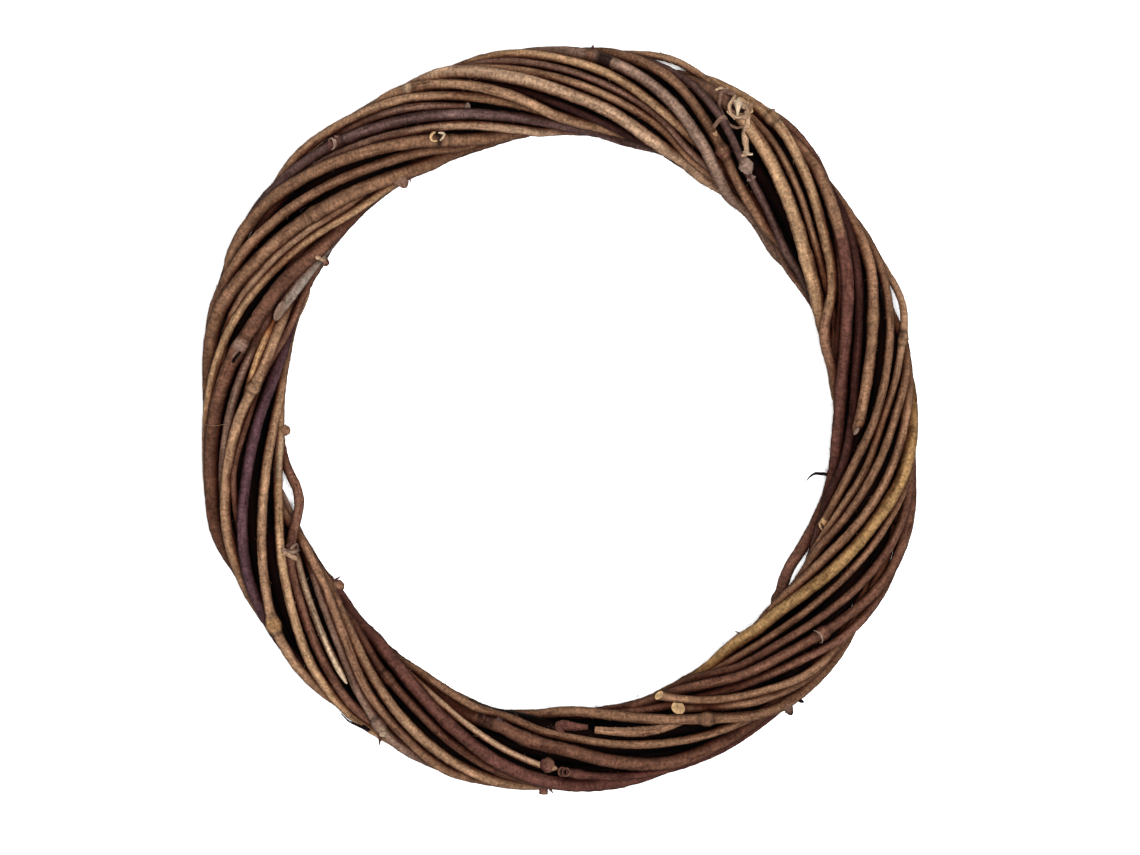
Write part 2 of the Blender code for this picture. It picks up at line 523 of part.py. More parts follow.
def settle(paths):
    """Pull the vines to their places and push them clear of one another."""
    clock, radius = joined(paths, "clock"), joined(paths, "radius") * ROUND_UP + joined(paths, "room")
    across, height = joined(paths, "across"), joined(paths, "height")
    wanted, pull = joined(paths, "wanted"), joined(paths, "pull")
    bend = np.concatenate([np.full(len(p["clock"]), math.cos(math.radians(p["rate"] * STATION)))
                           for p in paths.values()])
    starts, owners = segment_starts(paths)
    sizes = [len(path["clock"]) for path in paths.values()]
    lasts = np.cumsum(sizes) - 1
    ends = np.concatenate((lasts, lasts - np.array(sizes) + 1))
    out = np.stack((np.sin(np.radians(clock)), np.cos(np.radians(clock))), axis=-1)
    all_pairs = candidate_pairs(clock, starts, owners)
    floor = -HALF_HIGH - FLOOR_PRESS
    least, most = edge_limits(clock, radius)
    read = pull > READ_PULL
    least = np.where(read, np.minimum(least, wanted), least)
    most = np.where(read, np.maximum(most, wanted), most)
    worst = 0.0
    for count in range(ROUNDS_RELAX + ROUNDS_SEPARATE):
        points = place(clock, across, height)
        if count % NEAR_EVERY == 0:
            near = closest(points, *all_pairs)[3] < NEAR
            pairs = all_pairs[0][near], all_pairs[1][near]
        calm = max(0.0, 1.0 - count / ROUNDS_RELAX)
        left = (ROUNDS_RELAX + ROUNDS_HOLD - count) / ROUNDS_LET_GO
        hold = max(HOLD * min(1.0, left), PULL * calm, 0.0)
        moves, worst = push_apart(points, radius, *pairs, PUSH)
        across = across + dot(moves[:, :2], out) + hold * pull * (wanted - across)
        height = height + moves[:, 2]
        across = across + calm * SMOOTH * (1.0 - pull) * smooth_move(across, ends, bend)
        height = height + calm * SMOOTH * smooth_move(height, ends, bend)
        across = across * (1.0 - DRAW_ACROSS * calm * (1.0 - pull))
        height = height * (1.0 - DRAW_HEIGHT * calm)
        across = np.clip(across, least, most)
        height = np.maximum(height, floor)
    print("largest lack of room, mm", round(worst * 1000.0, 3))
    offset = 0
    for path in paths.values():
        size = len(path["clock"])
        path["across"] = across[offset:offset + size]
        path["height"] = height[offset:offset + size]
        offset += size
    return paths


def pass_home(name):
    """The vine a pass belongs to, and the turns added to its readings there."""
    for vine, (names, _, _) in VINES.items():
        if name in names:
            return vine, vine_knots(names)[1][names.index(name)]
    raise KeyError(name)


def knob_rings(clock, radius, knobs):
    """Add rings for swellings to a vine's ring list: clocks and radii."""
    for centre, extra in knobs:
        base = float(np.interp(centre, clock, radius))
        near = np.abs(clock - centre)
        keep = near > KNOB_HALF + KNOB_CLEAR
        keep[0] = keep[-1] = True
        clock, radius = clock[keep], radius[keep]
        added = np.array([centre - KNOB_HALF, centre, centre + KNOB_HALF])
        sizes = np.array([base, base + extra * STEP / 2.0, base])
        clock = np.concatenate((clock, added))
        radius = np.concatenate((radius, sizes))
        order = np.argsort(clock, kind="stable")
        clock, radius = clock[order], radius[order]
    return clock, radius


def path_points(path, clock):
    """Places of a settled vine at any clocks, on the straight lines between its rings."""
    whole = place(path["clock"], path["across"], path["height"])
    return np.stack([np.interp(clock, path["clock"], whole[:, axis]) for axis in range(3)], axis=-1)


def tube_rings(points, radius, sides, spin=0.0):
    """Rings of points round a path; the flat sides face up and down."""
    rings = []
    count = len(points)
    for index in range(count):
        ahead = Vector(points[min(index + 1, count - 1)])
        behind = Vector(points[max(index - 1, 0)])
        along = (ahead - behind).normalized()
        here = Vector(points[index])
        outward = Vector((here.x, here.y, 0.0))
        outward = (outward - along * outward.dot(along)).normalized()
        upward = outward.cross(along).normalized()
        if upward.z < 0.0:
            upward = -upward
        ring = []
        for side in range(sides):
            angle = 2.0 * math.pi * side / sides + spin
            way = outward * math.cos(angle) + upward * math.sin(angle)
            ring.append(here + way * radius[index])
        rings.append(ring)
    return rings


def add_tube(mesh, rings):
    """Closed tube through rings, with flat ends."""
    sides = len(rings[0])
    grid = [[mesh.verts.new(point) for point in ring] for ring in rings]
    for one, two in zip(grid, grid[1:]):
        for side in range(sides):
            after = (side + 1) % sides
            mesh.faces.new((one[side], two[side], two[after], one[after]))
    mesh.faces.new(grid[0])
    mesh.faces.new(tuple(reversed(grid[-1])))


def mesh_object(name, mesh):
    """Finish a mesh as a named object with its faces out."""
    bmesh.ops.recalc_face_normals(mesh, faces=mesh.faces[:])
    data = bpy.data.meshes.new(name)
    mesh.to_mesh(data)
    mesh.free()
    obj = bpy.data.objects.new(name, data)
    bpy.context.scene.collection.objects.link(obj)
    return obj


def thorn_shape(paths, entry):
    """Small bent cone that grows from a vine: name of the vine and the rings."""
    name, clock, length, base, tip, way = entry
    vine, shift = pass_home(name)
    path = paths[vine]
    root = Vector(path_points(path, clock + shift))
    ahead = Vector(path_points(path, clock + shift + 1.0))
    along = (ahead - root).normalized()
    outward = Vector((root.x, root.y, 0.0)).normalized()
    aim = (outward * way[0] + Vector((0.0, 0.0, way[1])) + along * way[2]).normalized()
    hold = float(np.interp(clock + shift, path["clock"], path["radius"]))
    side = aim.orthogonal().normalized()
    other = aim.cross(side)
    rings = []
    for share, size in [(share, base * part) for share, part in THORN_RINGS] + [(1.0, tip)]:
        centre = root + aim * (hold * THORN_ROOT + share * length * STEP)
        centre.z += share * share * THORN_BEND
        ring = []
        for corner in range(THORN_SIDES):
            angle = 2.0 * math.pi * corner / THORN_SIDES
            ring.append(centre + (side * math.cos(angle) + other * math.sin(angle)) * size * STEP / 2.0)
        rings.append(ring)
    return vine, rings


def tendril_shape(paths, entry):
    """Thin bent tendril rooted in a vine: name of the vine and the rings."""
    name, clock, width, readings = entry
    vine, shift = pass_home(name)
    root = path_points(paths[vine], clock + shift)
    points = [root]
    for place_clock, across, height in readings[1:]:
        point = place(place_clock, across * STEP, root[2] + height * STEP)
        points.append(point)
    sizes = np.linspace(width, width * TENDRIL_TAPER, len(points)) * STEP / 2.0
    rings = []
    for index, point in enumerate(points):
        ahead = Vector(points[min(index + 1, len(points) - 1)])
        behind = Vector(points[max(index - 1, 0)])
        along = (ahead - behind).normalized()
        side = along.cross(Vector((0.0, 0.0, 1.0))).normalized()
        other = side.cross(along)
        ring = []
        for corner in range(TENDRIL_SIDES):
            angle = 2.0 * math.pi * corner / TENDRIL_SIDES
            ring.append(Vector(point) + (side * math.cos(angle) + other * math.sin(angle)) * sizes[index])
        rings.append(ring)
    return vine, rings


def fuse(obj, shapes):
    """Join small closed shapes to a vine, as they grow from it."""
    group = bpy.data.collections.new("growths")
    bpy.context.scene.collection.children.link(group)
    for count, rings in enumerate(shapes):
        mesh = bmesh.new()
        add_tube(mesh, rings)
        growth = mesh_object("growth_%d" % count, mesh)
        bpy.context.scene.collection.objects.unlink(growth)
        group.objects.link(growth)
    union = obj.modifiers.new("union", "BOOLEAN")
    union.operation = "UNION"
    union.operand_type = "COLLECTION"
    union.collection = group
    union.solver = "EXACT"
    union.use_self = False
    bpy.context.view_layer.update()
    graph = bpy.context.evaluated_depsgraph_get()
    joined_mesh = bpy.data.meshes.new_from_object(obj.evaluated_get(graph))
    obj.modifiers.clear()
    obj.data = joined_mesh
    for growth in list(group.objects):
        bpy.data.objects.remove(growth, do_unlink=True)
    bpy.data.collections.remove(group)


def dress(obj, name):
    """Give an object its own bark."""
    colour, rough = BARK[DRESS[name]]
    bark = bpy.data.materials.new(name + "_bark")
    bark.use_nodes = True
    shader = bark.node_tree.nodes["Principled BSDF"]
    shader.inputs["Base Color"].default_value = (*colour, 1.0)
    shader.inputs["Roughness"].default_value = rough
    bark.diffuse_color = (*colour, 1.0)
    obj.data.materials.clear()
    obj.data.materials.append(bark)


def vine_rings(path, knobs, sides, spin):
    """Rings of one vine, flattened where it is pressed on the floor."""
    clock, radius = knob_rings(path["clock"], path["radius"], knobs)
    points = path_points(path, clock)
    rings = tube_rings(points, radius * ROUND_UP, sides, spin)
    return [[Vector((p.x, p.y, max(p.z, 0.0))) for p in ring] for ring in rings]


def lay_down(paths):
    """Let the ring sag onto the floor all the way round, with its lowest vines pressed on it."""
    count = int(round(360.0 / STATION))
    clock = joined(paths, "clock")
    under = joined(paths, "height") - joined(paths, "radius") * FLAT_SHARE
    lowest = np.full(count, 1.0)
    np.minimum.at(lowest, np.round(clock / STATION).astype(int) % count, under)
    sag = sum(share * np.roll(lowest, turn) for share, turn in SAG_SPREAD)
    planes = np.arange(count + 1) * STATION
    sag = np.append(sag, sag[0])
    for path in paths.values():
        path["height"] = path["height"] - np.interp(path["clock"] % 360.0, planes, sag)
    under = joined(paths, "height") - joined(paths, "radius") * FLAT_SHARE
    for path in paths.values():
        path["height"] = path["height"] - under.min() - FLOOR_PRESS
    return paths


def centre_on_origin(objects):
    """Slide the whole wreath so that the origin is under the middle of its box."""
    corners = np.array([vertex.co[:2] for obj in objects for vertex in obj.data.vertices])
    middle = (corners.min(axis=0) + corners.max(axis=0)) / 2.0
    for obj in objects:
        obj.data.transform(Matrix.Translation((-middle[0], -middle[1], 0.0)))
    print("ring axis at, mm", round(-middle[0] * 1000.0, 3), round(-middle[1] * 1000.0, 3))


def build():
    """Make every vine of the wreath."""
    for obj in list(bpy.data.objects):
        bpy.data.objects.remove(obj, do_unlink=True)
    paths = lay_down(settle(lay_all()))
    grown = {}
    for entry in THORNS:
        vine, rings = thorn_shape(paths, entry)
        grown.setdefault(vine, []).append(rings)
    for entry in TENDRILS:
        vine, rings = tendril_shape(paths, entry)
        grown.setdefault(vine, []).append(rings)
    knobs = {}
    for name, clock, extra in KNOBS:
        vine, shift = pass_home(name)
        knobs.setdefault(vine, []).append((clock + shift, extra))
    total = 0
    for name, path in paths.items():
        inner = name not in VINES
        sides = MIDDLE_SIDES if inner else SIDES
        spin = math.pi / 2.0 if inner else 0.0
        mesh = bmesh.new()
        add_tube(mesh, vine_rings(path, knobs.get(name, []), sides, spin))
        obj = mesh_object(name, mesh)
        if name in grown:
            fuse(obj, grown[name])
        dress(obj, name)
        total += sum(len(face.vertices) - 2 for face in obj.data.polygons)
    centre_on_origin([bpy.data.objects[name] for name in paths])
    print("triangles", total)


build()
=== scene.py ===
# Looks of the smilax vine wreath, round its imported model. Metres, +Z up, the ring lies on z = 0.
# A place round the ring is a clock degree, 0 at +Y and growing towards +X. A place across the
# band is in steps, counted outwards from the band's middle circle.

import math

import bmesh
import bpy
import numpy as np
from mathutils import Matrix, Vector
from mathutils.bvhtree import BVHTree


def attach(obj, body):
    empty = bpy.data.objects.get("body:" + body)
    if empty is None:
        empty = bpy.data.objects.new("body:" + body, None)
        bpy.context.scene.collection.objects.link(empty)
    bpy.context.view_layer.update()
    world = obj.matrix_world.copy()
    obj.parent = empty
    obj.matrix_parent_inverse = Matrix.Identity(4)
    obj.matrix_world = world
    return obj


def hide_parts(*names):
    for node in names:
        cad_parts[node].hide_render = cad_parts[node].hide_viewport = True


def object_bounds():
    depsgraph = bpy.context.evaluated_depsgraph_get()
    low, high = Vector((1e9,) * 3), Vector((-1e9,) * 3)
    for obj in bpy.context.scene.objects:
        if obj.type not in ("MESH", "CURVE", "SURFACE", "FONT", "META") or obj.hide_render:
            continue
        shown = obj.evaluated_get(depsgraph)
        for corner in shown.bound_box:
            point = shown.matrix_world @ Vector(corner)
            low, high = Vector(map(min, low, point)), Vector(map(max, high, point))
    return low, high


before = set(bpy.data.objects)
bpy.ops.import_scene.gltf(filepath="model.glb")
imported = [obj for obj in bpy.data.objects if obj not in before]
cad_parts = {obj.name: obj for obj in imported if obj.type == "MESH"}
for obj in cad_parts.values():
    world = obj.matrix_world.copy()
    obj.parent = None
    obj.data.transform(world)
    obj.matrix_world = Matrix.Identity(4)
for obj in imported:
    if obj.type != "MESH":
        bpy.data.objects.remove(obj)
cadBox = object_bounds()
print("stage: the packed model is loaded,", len(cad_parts), "nodes")

# How the ring is wound. These are the part's own measures, and the vines follow the same rule.
step = 0.000348  # metres in one step
winding = {
    "ringMid": 323.5 * step,
    "ringOval": 7.0 * step,
    "halfWide": 39.0 * step,
    "halfHigh": 34.0 * step,
    "axis": (-0.00035, -0.000245),  # where the ring's axis stands in the model
    "gap": 0.00036,
    "station": 9.0,
    "endClear": 2.5,
    "turnRate": 2.57,
    "turnRateLeast": 1.9,
    "turnRateMost": 4.2,
    "backStart": 62.0,
    "backEnd": 74.0,
    "passApart": 60.0,
    "frontBefore": 32.0,
    "frontAfter": 36.0,
    "slopeReach": 8.0,
    "slopeLeastSpan": 4.0,
    "easeBefore": 3.0,
    "easeSpan": 5.0,
    "lift": 2.0 * step,
    "floorPress": 0.0004,
    "flatShare": 1.04 * math.cos(math.pi / 6.0),
    "sagSpread": ((0.15, -1), (0.7, 0), (0.15, 1)),
    "roundUp": 1.04,
    "innerShort": 7.0,
}
axisSpot = np.array((*winding["axis"], 0.0))

# Outline of the band: clock, then its inner and outer edge in steps from the ring's axis.
outline = (
    (0, 284.5, 374), (10, 284, 378), (20, 284, 380), (30, 277, 379), (40, 276.5, 376.5),
    (50, 268.5, 362), (60, 272, 364), (70, 273.5, 364), (80, 274, 356.5), (90, 274, 358),
    (100, 272, 363), (110, 271, 369.5), (120, 267.5, 367.5), (130, 276.5, 367.5), (140, 276.5, 371),
    (150, 280.5, 367.5), (160, 285, 368.5), (170, 288, 374), (180, 286.5, 369.5), (190, 291, 374),
    (200, 289, 371.5), (210, 282.5, 366), (220, 279.5, 362), (230, 273.5, 362), (240, 279, 358.5),
    (250, 273.5, 365.5), (260, 271, 363), (270, 274, 357.5), (280, 275, 361.5), (290, 279.5, 368.5),
    (300, 283.5, 374.5), (310, 288, 373.5), (320, 287, 376.5), (330, 283.5, 372), (340, 282.5, 372.5),
    (350, 283, 375),
)

# Each pass over the front: width and lift in steps, then (clock, across) along its middle line.
passes = {
    "p00": (13, 2, (335, 43), (340, 39), (345, 33), (350, 20), (355, 10), (360, -1), (365, -8), (370, -18),
            (375, -27), (380, -33), (385, -37), (390, -41)),
    "p01": (8, -1, (345, 38), (350, 29), (355, 20), (360, 12), (365, 5), (370, -5), (376, -14), (380, -18)),
    "p02": (7, -2, (350, 36), (355, 30), (360, 22), (365, 14), (370, 4), (375, -5), (377, -9)),
    "p03": (9, 0, (345, 42), (350, 42), (355, 38), (360, 32), (365, 26), (370, 17), (375, 7), (377, 1),
            (379, -4)),
    "p04": (12, 3, (-4, 41), (0, 40), (4, 38), (10, 30), (15, 19), (20, 8), (25, -8), (30, -25), (35, -36),
            (40, -43), (50, -48), (60, -45)),
    "p05": (10, 2, (7, 42), (12, 41), (16, 36), (20, 27), (24, 15), (27, 3), (29, -8), (33, -19), (37, -27),
            (40, -33), (45, -38), (50, -41)),
    "p06": (8, 0, (13, 42), (18, 39), (22, 31), (25, 25), (27, 19), (31, 7), (35, -8), (38, -15), (41, -21),
            (45, -28), (50, -34), (55, -39)),
    "p07": (13, 2, (25, 36), (30, 31), (33, 25), (36, 17), (40, 9), (45, -3), (50, -13), (55, -21),
            (60, -26), (65, -31), (70, -34), (77, -38)),
    "p08": (7, 2, (8, 43), (13, 49.5), (17, 51), (20, 48), (23, 44), (26, 40), (31, 37), (35, 31), (40, 22),
            (45, 11), (50, -1), (55, -10), (60, -18)),
    "p09": (10, 1, (23, 48), (30, 47), (33, 46), (36, 44), (40, 36), (43, 30), (45, 25), (50, 13), (55, 2),
            (60, -8), (67, -18)),
    "p10": (10, 1, (36, 50), (38, 51), (42, 48), (45, 42), (50, 30), (53, 22), (57, 12), (61, 3), (65, -7)),
    "p11": (12, 2, (50, 29), (55, 18), (59, 12), (65, -2), (70, -12), (75, -21), (80, -28), (85, -33),
            (90, -36), (100, -40), (110, -43), (115, -46), (120, -47), (125, -46), (128, -43), (132, -40)),
    "p12": (9, 1, (50, 35), (55, 28), (60, 20), (65, 12), (70, 0), (75, -11), (80, -17), (83, -20),
            (93, -24), (97, -28), (100, -30), (105, -35), (110, -38), (122, -34)),
    "p13": (11, 2, (59, 34), (65, 26), (70, 15), (75, 7), (80, -2), (85, -10), (90, -17), (92, -19)),
    "p14": (8, 1, (59, 40), (65, 38), (70, 31), (75, 26), (80, 16), (85, 7), (90, -2), (95, -13), (100, -22),
            (105, -29), (112, -34)),
    "p15": (7, -1, (65, 42), (70, 45), (75, 40), (77, 38), (80, 30), (85, 19), (90, 8), (95, -2), (97, -7)),
    "p16": (8, -1, (84, 27), (89, 18), (93, 12), (100, -1), (105, -9), (110, -18)),
    "p17": (9, 0, (80, 38), (85, 34), (89, 30), (95, 24), (100, 15), (105, 6), (110, -4), (115, -16),
            (120, -24)),
    "p18": (12, 3, (80, 34), (85, 37.5), (90, 38), (93, 37), (97, 34), (100, 30), (105, 20), (110, 8),
            (115, -2), (120, -12), (125, -22), (130, -30), (135, -37), (140, -42), (150, -45)),
    "p19": (7, 0, (101, 36), (105, 31), (110, 22), (115, 12), (120, 4), (125, -6), (130, -14), (135, -21),
            (140, -28)),
    "p20": (8, 1, (102, 38), (107, 40), (110, 38), (113, 34), (117, 26), (120, 18), (123, 14), (127, 5),
            (130, -2), (135, -9), (140, -16), (145, -22), (150, -27)),
    "p21": (10, 2, (97, 40), (100, 44), (103, 48), (106, 49), (110, 47.5), (115, 45), (120, 38), (124, 28),
            (127, 20), (129, 17), (131, 12), (135, 2), (140, -7), (143, -12)),
    "p22": (8, 1, (116, 48), (122, 44), (125, 40), (128, 33), (130, 27), (135, 16), (140, 6), (145, -4),
            (150, -13)),
    "p23": (8, 1, (131, 35), (135, 32), (139, 24), (142, 17), (145, 7), (148, -1), (150, -8), (153, -14),
            (156, -20), (158.5, -30), (160, -37)),
    "p24": (8, 1, (136, 35), (140, 29), (143, 21), (146, 13), (149, 4), (152, -4), (155, -12), (157.5, -18)),
    "p25": (10, 2, (128, 41), (131, 44), (135, 43), (140, 40), (143, 35), (147, 27), (150, 18), (152, 12),
            (153.5, 3), (157, -3), (160, -10), (163, -18), (167, -26), (170, -31), (175, -37), (180, -41)),
    "p26": (8, -2, (155, 20), (160, 12), (165, 5), (170, -2), (175, -9), (181, -19)),
    "p27": (13, 1, (155, 38), (160, 33), (165, 26), (170, 16), (175, 6), (180, -6), (185, -17), (190, -25),
            (193, -30)),
    "p28": (6.5, 2, (182.5, 18), (185, 12), (190, 2), (195, -8), (200, -18), (205, -28), (210, -35),
            (215, -41)),
    "p29": (13, 1, (172, 41), (179, 33), (182, 29), (185, 25), (190, 15), (195, 4), (200, -6), (205, -17),
            (210, -27), (215, -33), (220, -38), (225, -41), (230, -44)),
    "p30": (8.5, 0, (182, 39), (186, 31), (190, 26), (195, 17), (200, 8), (205, -4), (210, -12), (214, -18),
            (220, -28), (225, -34), (230, -37)),
    "p31": (10, 1, (183, 40), (190, 36), (195, 31), (200, 24), (205, 14), (210, 5), (215, -7), (220, -18),
            (225, -27), (230, -34), (235, -38)),
    "p32": (9, 1, (197, 40), (200, 35), (205, 26), (210, 16), (215, 5), (220, -8), (225, -20), (230, -31)),
    "p33": (9, 0, (209, 33), (210, 28), (212.5, 22), (215, 15), (217.5, 9), (220, 3), (225, -11), (230, -20),
            (235, -28), (240, -33), (243, -34)),
    "p34": (9, 1, (213, 34), (218, 23), (220, 20), (225, 13), (230, 4), (235, -5), (240, -12), (243.5, -18),
            (245, -26), (248, -35), (252, -41.5), (257, -43.5), (262, -41.5), (266, -38)),
    "p35": (9, 1, (216, 35), (220, 30), (225, 24), (230, 14), (235, 5), (240, -4), (245, -13), (250, -20),
            (255, -26), (260, -30), (265, -34)),
    "p36": (9.5, 1, (225, 37), (229, 36), (233, 33), (234.3, 29), (238, 21), (240, 17), (245, 8), (250, -2),
            (255, -12), (260, -19), (265, -26), (270, -31), (275, -35), (280, -38), (285, -39)),
    "p37": (11, 0, (236, 37), (240, 34), (245, 26), (250, 18), (255, 10), (260, 0), (265, -9), (270, -16),
            (275, -23), (280, -28), (285, -32), (290, -35), (295, -36)),
    "p38": (6.5, -1, (253, 19), (258, 15), (262, 11), (265, 4), (270, -4)),
    "p39": (10, 2, (245, 40), (248, 37), (250, 34), (255, 28), (260, 20), (265, 12), (270, 3), (273, -3),
            (276, -11), (280, -17), (285, -22), (290, -27), (295, -31)),
    "p40": (8.5, -1, (262, 24), (265, 21), (268, 17), (270, 14), (275, 7), (280, 2), (282, -1), (285, -5),
            (288, -8)),
    "p41": (14, 2, (245, 42), (250, 44), (255, 42), (260, 37), (265, 33), (270, 29), (275, 24), (280, 15),
            (283, 8), (285, 5), (290, -3), (295, -9), (300, -18), (305, -26), (310, -32), (315, -35)),
    "p42": (8, 0, (279, 31), (285, 25), (290, 18), (295, 9), (300, -1), (305, -11), (310, -21), (315, -28),
            (319, -34)),
    "p43": (8, 0, (283, 33), (285, 31), (290, 26), (295, 17), (300, 8), (305, -2), (310, -12), (315, -22),
            (320, -30)),
    "p44": (14, 2, (277, 39), (285, 39), (290, 34), (295, 26), (300, 17), (305, 8), (310, -1), (315, -12),
            (320, -21), (325, -29), (330, -36), (335, -41), (340, -43), (345, -44), (350, -43)),
    "p45": (10, 1, (285, 47), (288, 47), (290, 45), (295, 40), (300, 34), (305, 27), (310, 18), (315, 7),
            (320, -4), (325, -13), (330, -21), (334, -27)),
    "p46": (12, 2, (296, 49), (300, 51), (305, 46), (310, 38), (315, 26), (320, 15), (325, 3), (330, -7),
            (333, -13), (336, -20), (340, -26), (342, -31)),
    "p47": (9, 0, (311, 36), (315, 30), (320, 22), (325, 13), (330, 3), (335, -6), (340, -15), (345, -25),
            (350, -33), (355, -38), (360, -43)),
    "p48": (11, 0, (305, 49), (310, 45), (315, 40), (320, 33), (325, 24), (330, 15), (335, 7), (340, -3),
            (345, -12), (350, -21), (355, -28), (360, -33)),
    "p49": (7.5, 0, (325, 35), (330, 26), (335, 17), (340, 6), (343.8, -3)),
    "p50": (9, 1, (311, 50), (315, 51), (320, 47), (325, 42), (330, 37), (335, 31), (340, 20), (345, 8),
            (350, -5), (353, -12)),
    "p51": (10, 3, (327, 43), (335, 38), (340, 29), (345, 17), (350, 3), (355, -13), (360, -26), (363, -32),
            (366, -41)),
    "p52": (7.5, -1, (340, 36), (345, 24), (350, 11), (355, -4), (360, -14), (365, -24), (370, -31),
            (380, -42), (390, -46)),
    "q00": (7, 2, (219, 11), (221.5, 8), (225, 1), (230, -7), (235, -14), (240, -20), (243.5, -25)),
    "q01": (7.5, 1, (272, -3), (278, -7), (282, -9), (286, -13), (290, -17)),
    "q02": (10, 1, (291.5, -18), (295, -23), (300, -28), (304, -31), (312, -35), (318, -38)),
    "q03": (7, 0, (152, 41), (160, 38), (165, 35), (170, 31), (175, 27), (179.5, 21)),
}

# Each vine: the passes it makes in turn, and the clock places of its cut ends where they show.
vines = {
    "vine_01": (("p28", "p49"), 182.5, 343.8),
    "vine_02": (("p17", "p38", "p06"), None, None),
    "vine_03": (("p27", "p48", "p16"), None, None),
    "vine_04": (("p37", "p05"), None, None),
    "vine_05": (("p26", "p47", "p15"), None, None),
    "vine_06": (("p36", "p04"), None, None),
    "vine_07": (("p25", "p46", "p14"), None, 112.0),
    "vine_08": (("p35", "p03", "p24"), None, 157.5),
    "vine_09": (("p45", "p13"), None, 92.0),
    "vine_10": (("p34", "p02", "p23"), None, 160.0),
    "vine_11": (("p44", "p12", "p33"), None, None),
    "vine_12": (("p01", "p22", "p43"), None, None),
    "vine_13": (("p11", "p32", "p00"), None, None),
    "vine_14": (("p21", "p42", "p10"), None, None),
    "vine_15": (("p31", "p52", "p20"), None, None),
    "vine_16": (("p41", "p09", "p30"), None, None),
    "vine_17": (("p51", "p19", "p40"), None, None),
    "vine_18": (("p08", "p29", "p50"), None, None),
    "vine_19": (("p18", "p39", "p07"), None, None),
    "twig_01": (("q00",), 219.0, 243.5),
    "twig_02": (("q01",), 272.0, 290.0),
    "twig_03": (("q02",), 291.5, 335.0),
    "twig_04": (("q03",), 133.0, 179.5),
}

# Vines below the outer ones: slot, clock of the start, rounds.
innerVines = {
    "middle_01": (0.0, 15.0, 2.0),
    "middle_02": (0.0, 750.0, 3.0),
    "middle_03": (36.0, 190.0, 2.0),
    "middle_04": (36.0, 925.0, 3.0),
    "core_01": (20.0, 100.0, 2.0),
    "core_02": (110.0, 290.0, 2.0),
}
# How each kind of them runs: degrees turned in a clock degree, depth below the outer ones, radius,
# and its share of the near-black tone, painted on as the shade deep inside the band.
innerKinds = {
    "middle": {"turns": 2.6, "inset": 0.0041, "radius": 0.0021, "light": 1.0},
    "core": {"turns": 2.5, "inset": 0.0087, "radius": 0.0024, "light": 0.4},
}

# Swellings: pass, clock, extra width in steps.
swellings = (
    ("p04", 5.0, 3.0), ("p08", 28.0, 2.5), ("p05", 31.0, 2.0), ("p09", 35.0, 3.5), ("p15", 76.0, 2.0),
    ("p18", 104.0, 2.0), ("p21", 129.0, 4.0), ("p25", 153.5, 3.5), ("q03", 177.0, 4.0),
    ("p27", 186.0, 2.0), ("p33", 211.0, 3.5), ("p30", 214.0, 2.0), ("p36", 234.3, 4.0),
    ("p34", 244.0, 4.0), ("p39", 276.0, 3.0), ("q02", 304.0, 3.0), ("p44", 310.0, 2.0),
    ("p48", 321.5, 4.0), ("p51", 336.0, 1.0), ("p46", 336.0, 3.0), ("p11", 84.0, 2.0),
    ("p07", 57.0, 2.0), ("p13", 72.0, 2.0), ("p41", 282.0, 2.5), ("p29", 200.0, 1.5),
)

# How the vines settle: the rounds of each stage, then how near they are looked for, and the shares
# by which they are pushed apart, pulled to their readings, smoothed and drawn together.
settling = {
    "relax": 300,
    "separate": 800,
    "hold": 450,
    "letGo": 100,
    "near": 0.011,
    "nearEvery": 20,
    "push": 0.9,
    "pull": 0.12,
    "readPull": 0.5,
    "holdPull": 0.03,
    "smooth": 0.10,
    "drawAcross": 0.004,
    "drawHeight": 0.008,
    "leastShare": 0.6,
    "leastSpread": 0.0001,
    "leastLength": 0.0000001,  # metres
}


def ringRadius(clock):
    return winding["ringMid"] + winding["ringOval"] * np.cos(2.0 * np.radians(clock))


def place(clock, across, height):  # clock, across and height to x, y, z
    angle = np.radians(clock)
    radius = ringRadius(clock) + across
    return np.stack((radius * np.sin(angle), radius * np.cos(angle), height), axis=-1)


def kindOf(name):  # what kind of inner vine this is
    return innerKinds[name.split("_")[0]]


def passCrossing(readings):  # where a pass crosses the band's middle, and how steeply
    clocks = np.array([reading[0] for reading in readings], dtype=float)
    across = np.array([reading[1] for reading in readings], dtype=float)
    near = 0 if across[0] <= 0.0 else -2
    slope = (across[near + 1] - across[near]) / (clocks[near + 1] - clocks[near])
    middle = float(clocks[near] - across[near] / slope)
    if across[0] > 0.0 > across[-1]:
        middle = float(np.interp(0.0, -across, clocks))
    reach = winding["slopeReach"]
    before = float(np.interp(middle - reach, clocks, across))
    after = float(np.interp(middle + reach, clocks, across))
    span = min(middle + reach, clocks[-1]) - max(middle - reach, clocks[0])
    if span < winding["slopeLeastSpan"]:
        return middle, slope
    return middle, (after - before) / span


def easeCurve(t, span, start, startRate, end, endRate):  # cubic between two values with their rates
    return ((1 + 2 * t) * (1 - t) ** 2 * start + t * (1 - t) ** 2 * span * startRate
            + t * t * (3 - 2 * t) * end + t * t * (t - 1) * span * endRate)


def turnedPhase(clock, knots):  # smooth curve through knots of (clock, phase, rate)
    if clock <= knots[0][0]:
        return knots[0][1] + (clock - knots[0][0]) * knots[0][2]
    if clock >= knots[-1][0]:
        return knots[-1][1] + (clock - knots[-1][0]) * knots[-1][2]
    index = max(i for i in range(len(knots) - 1) if knots[i][0] <= clock)
    start, end = knots[index], knots[index + 1]
    span = end[0] - start[0]
    return easeCurve((clock - start[0]) / span, span, *start[1:], *end[1:])


def stationList(start, end):
    first = math.ceil((start + winding["endClear"]) / winding["station"])
    last = math.floor((end - winding["endClear"]) / winding["station"])
    return [start] + [winding["station"] * k for k in range(first, last + 1)] + [end]


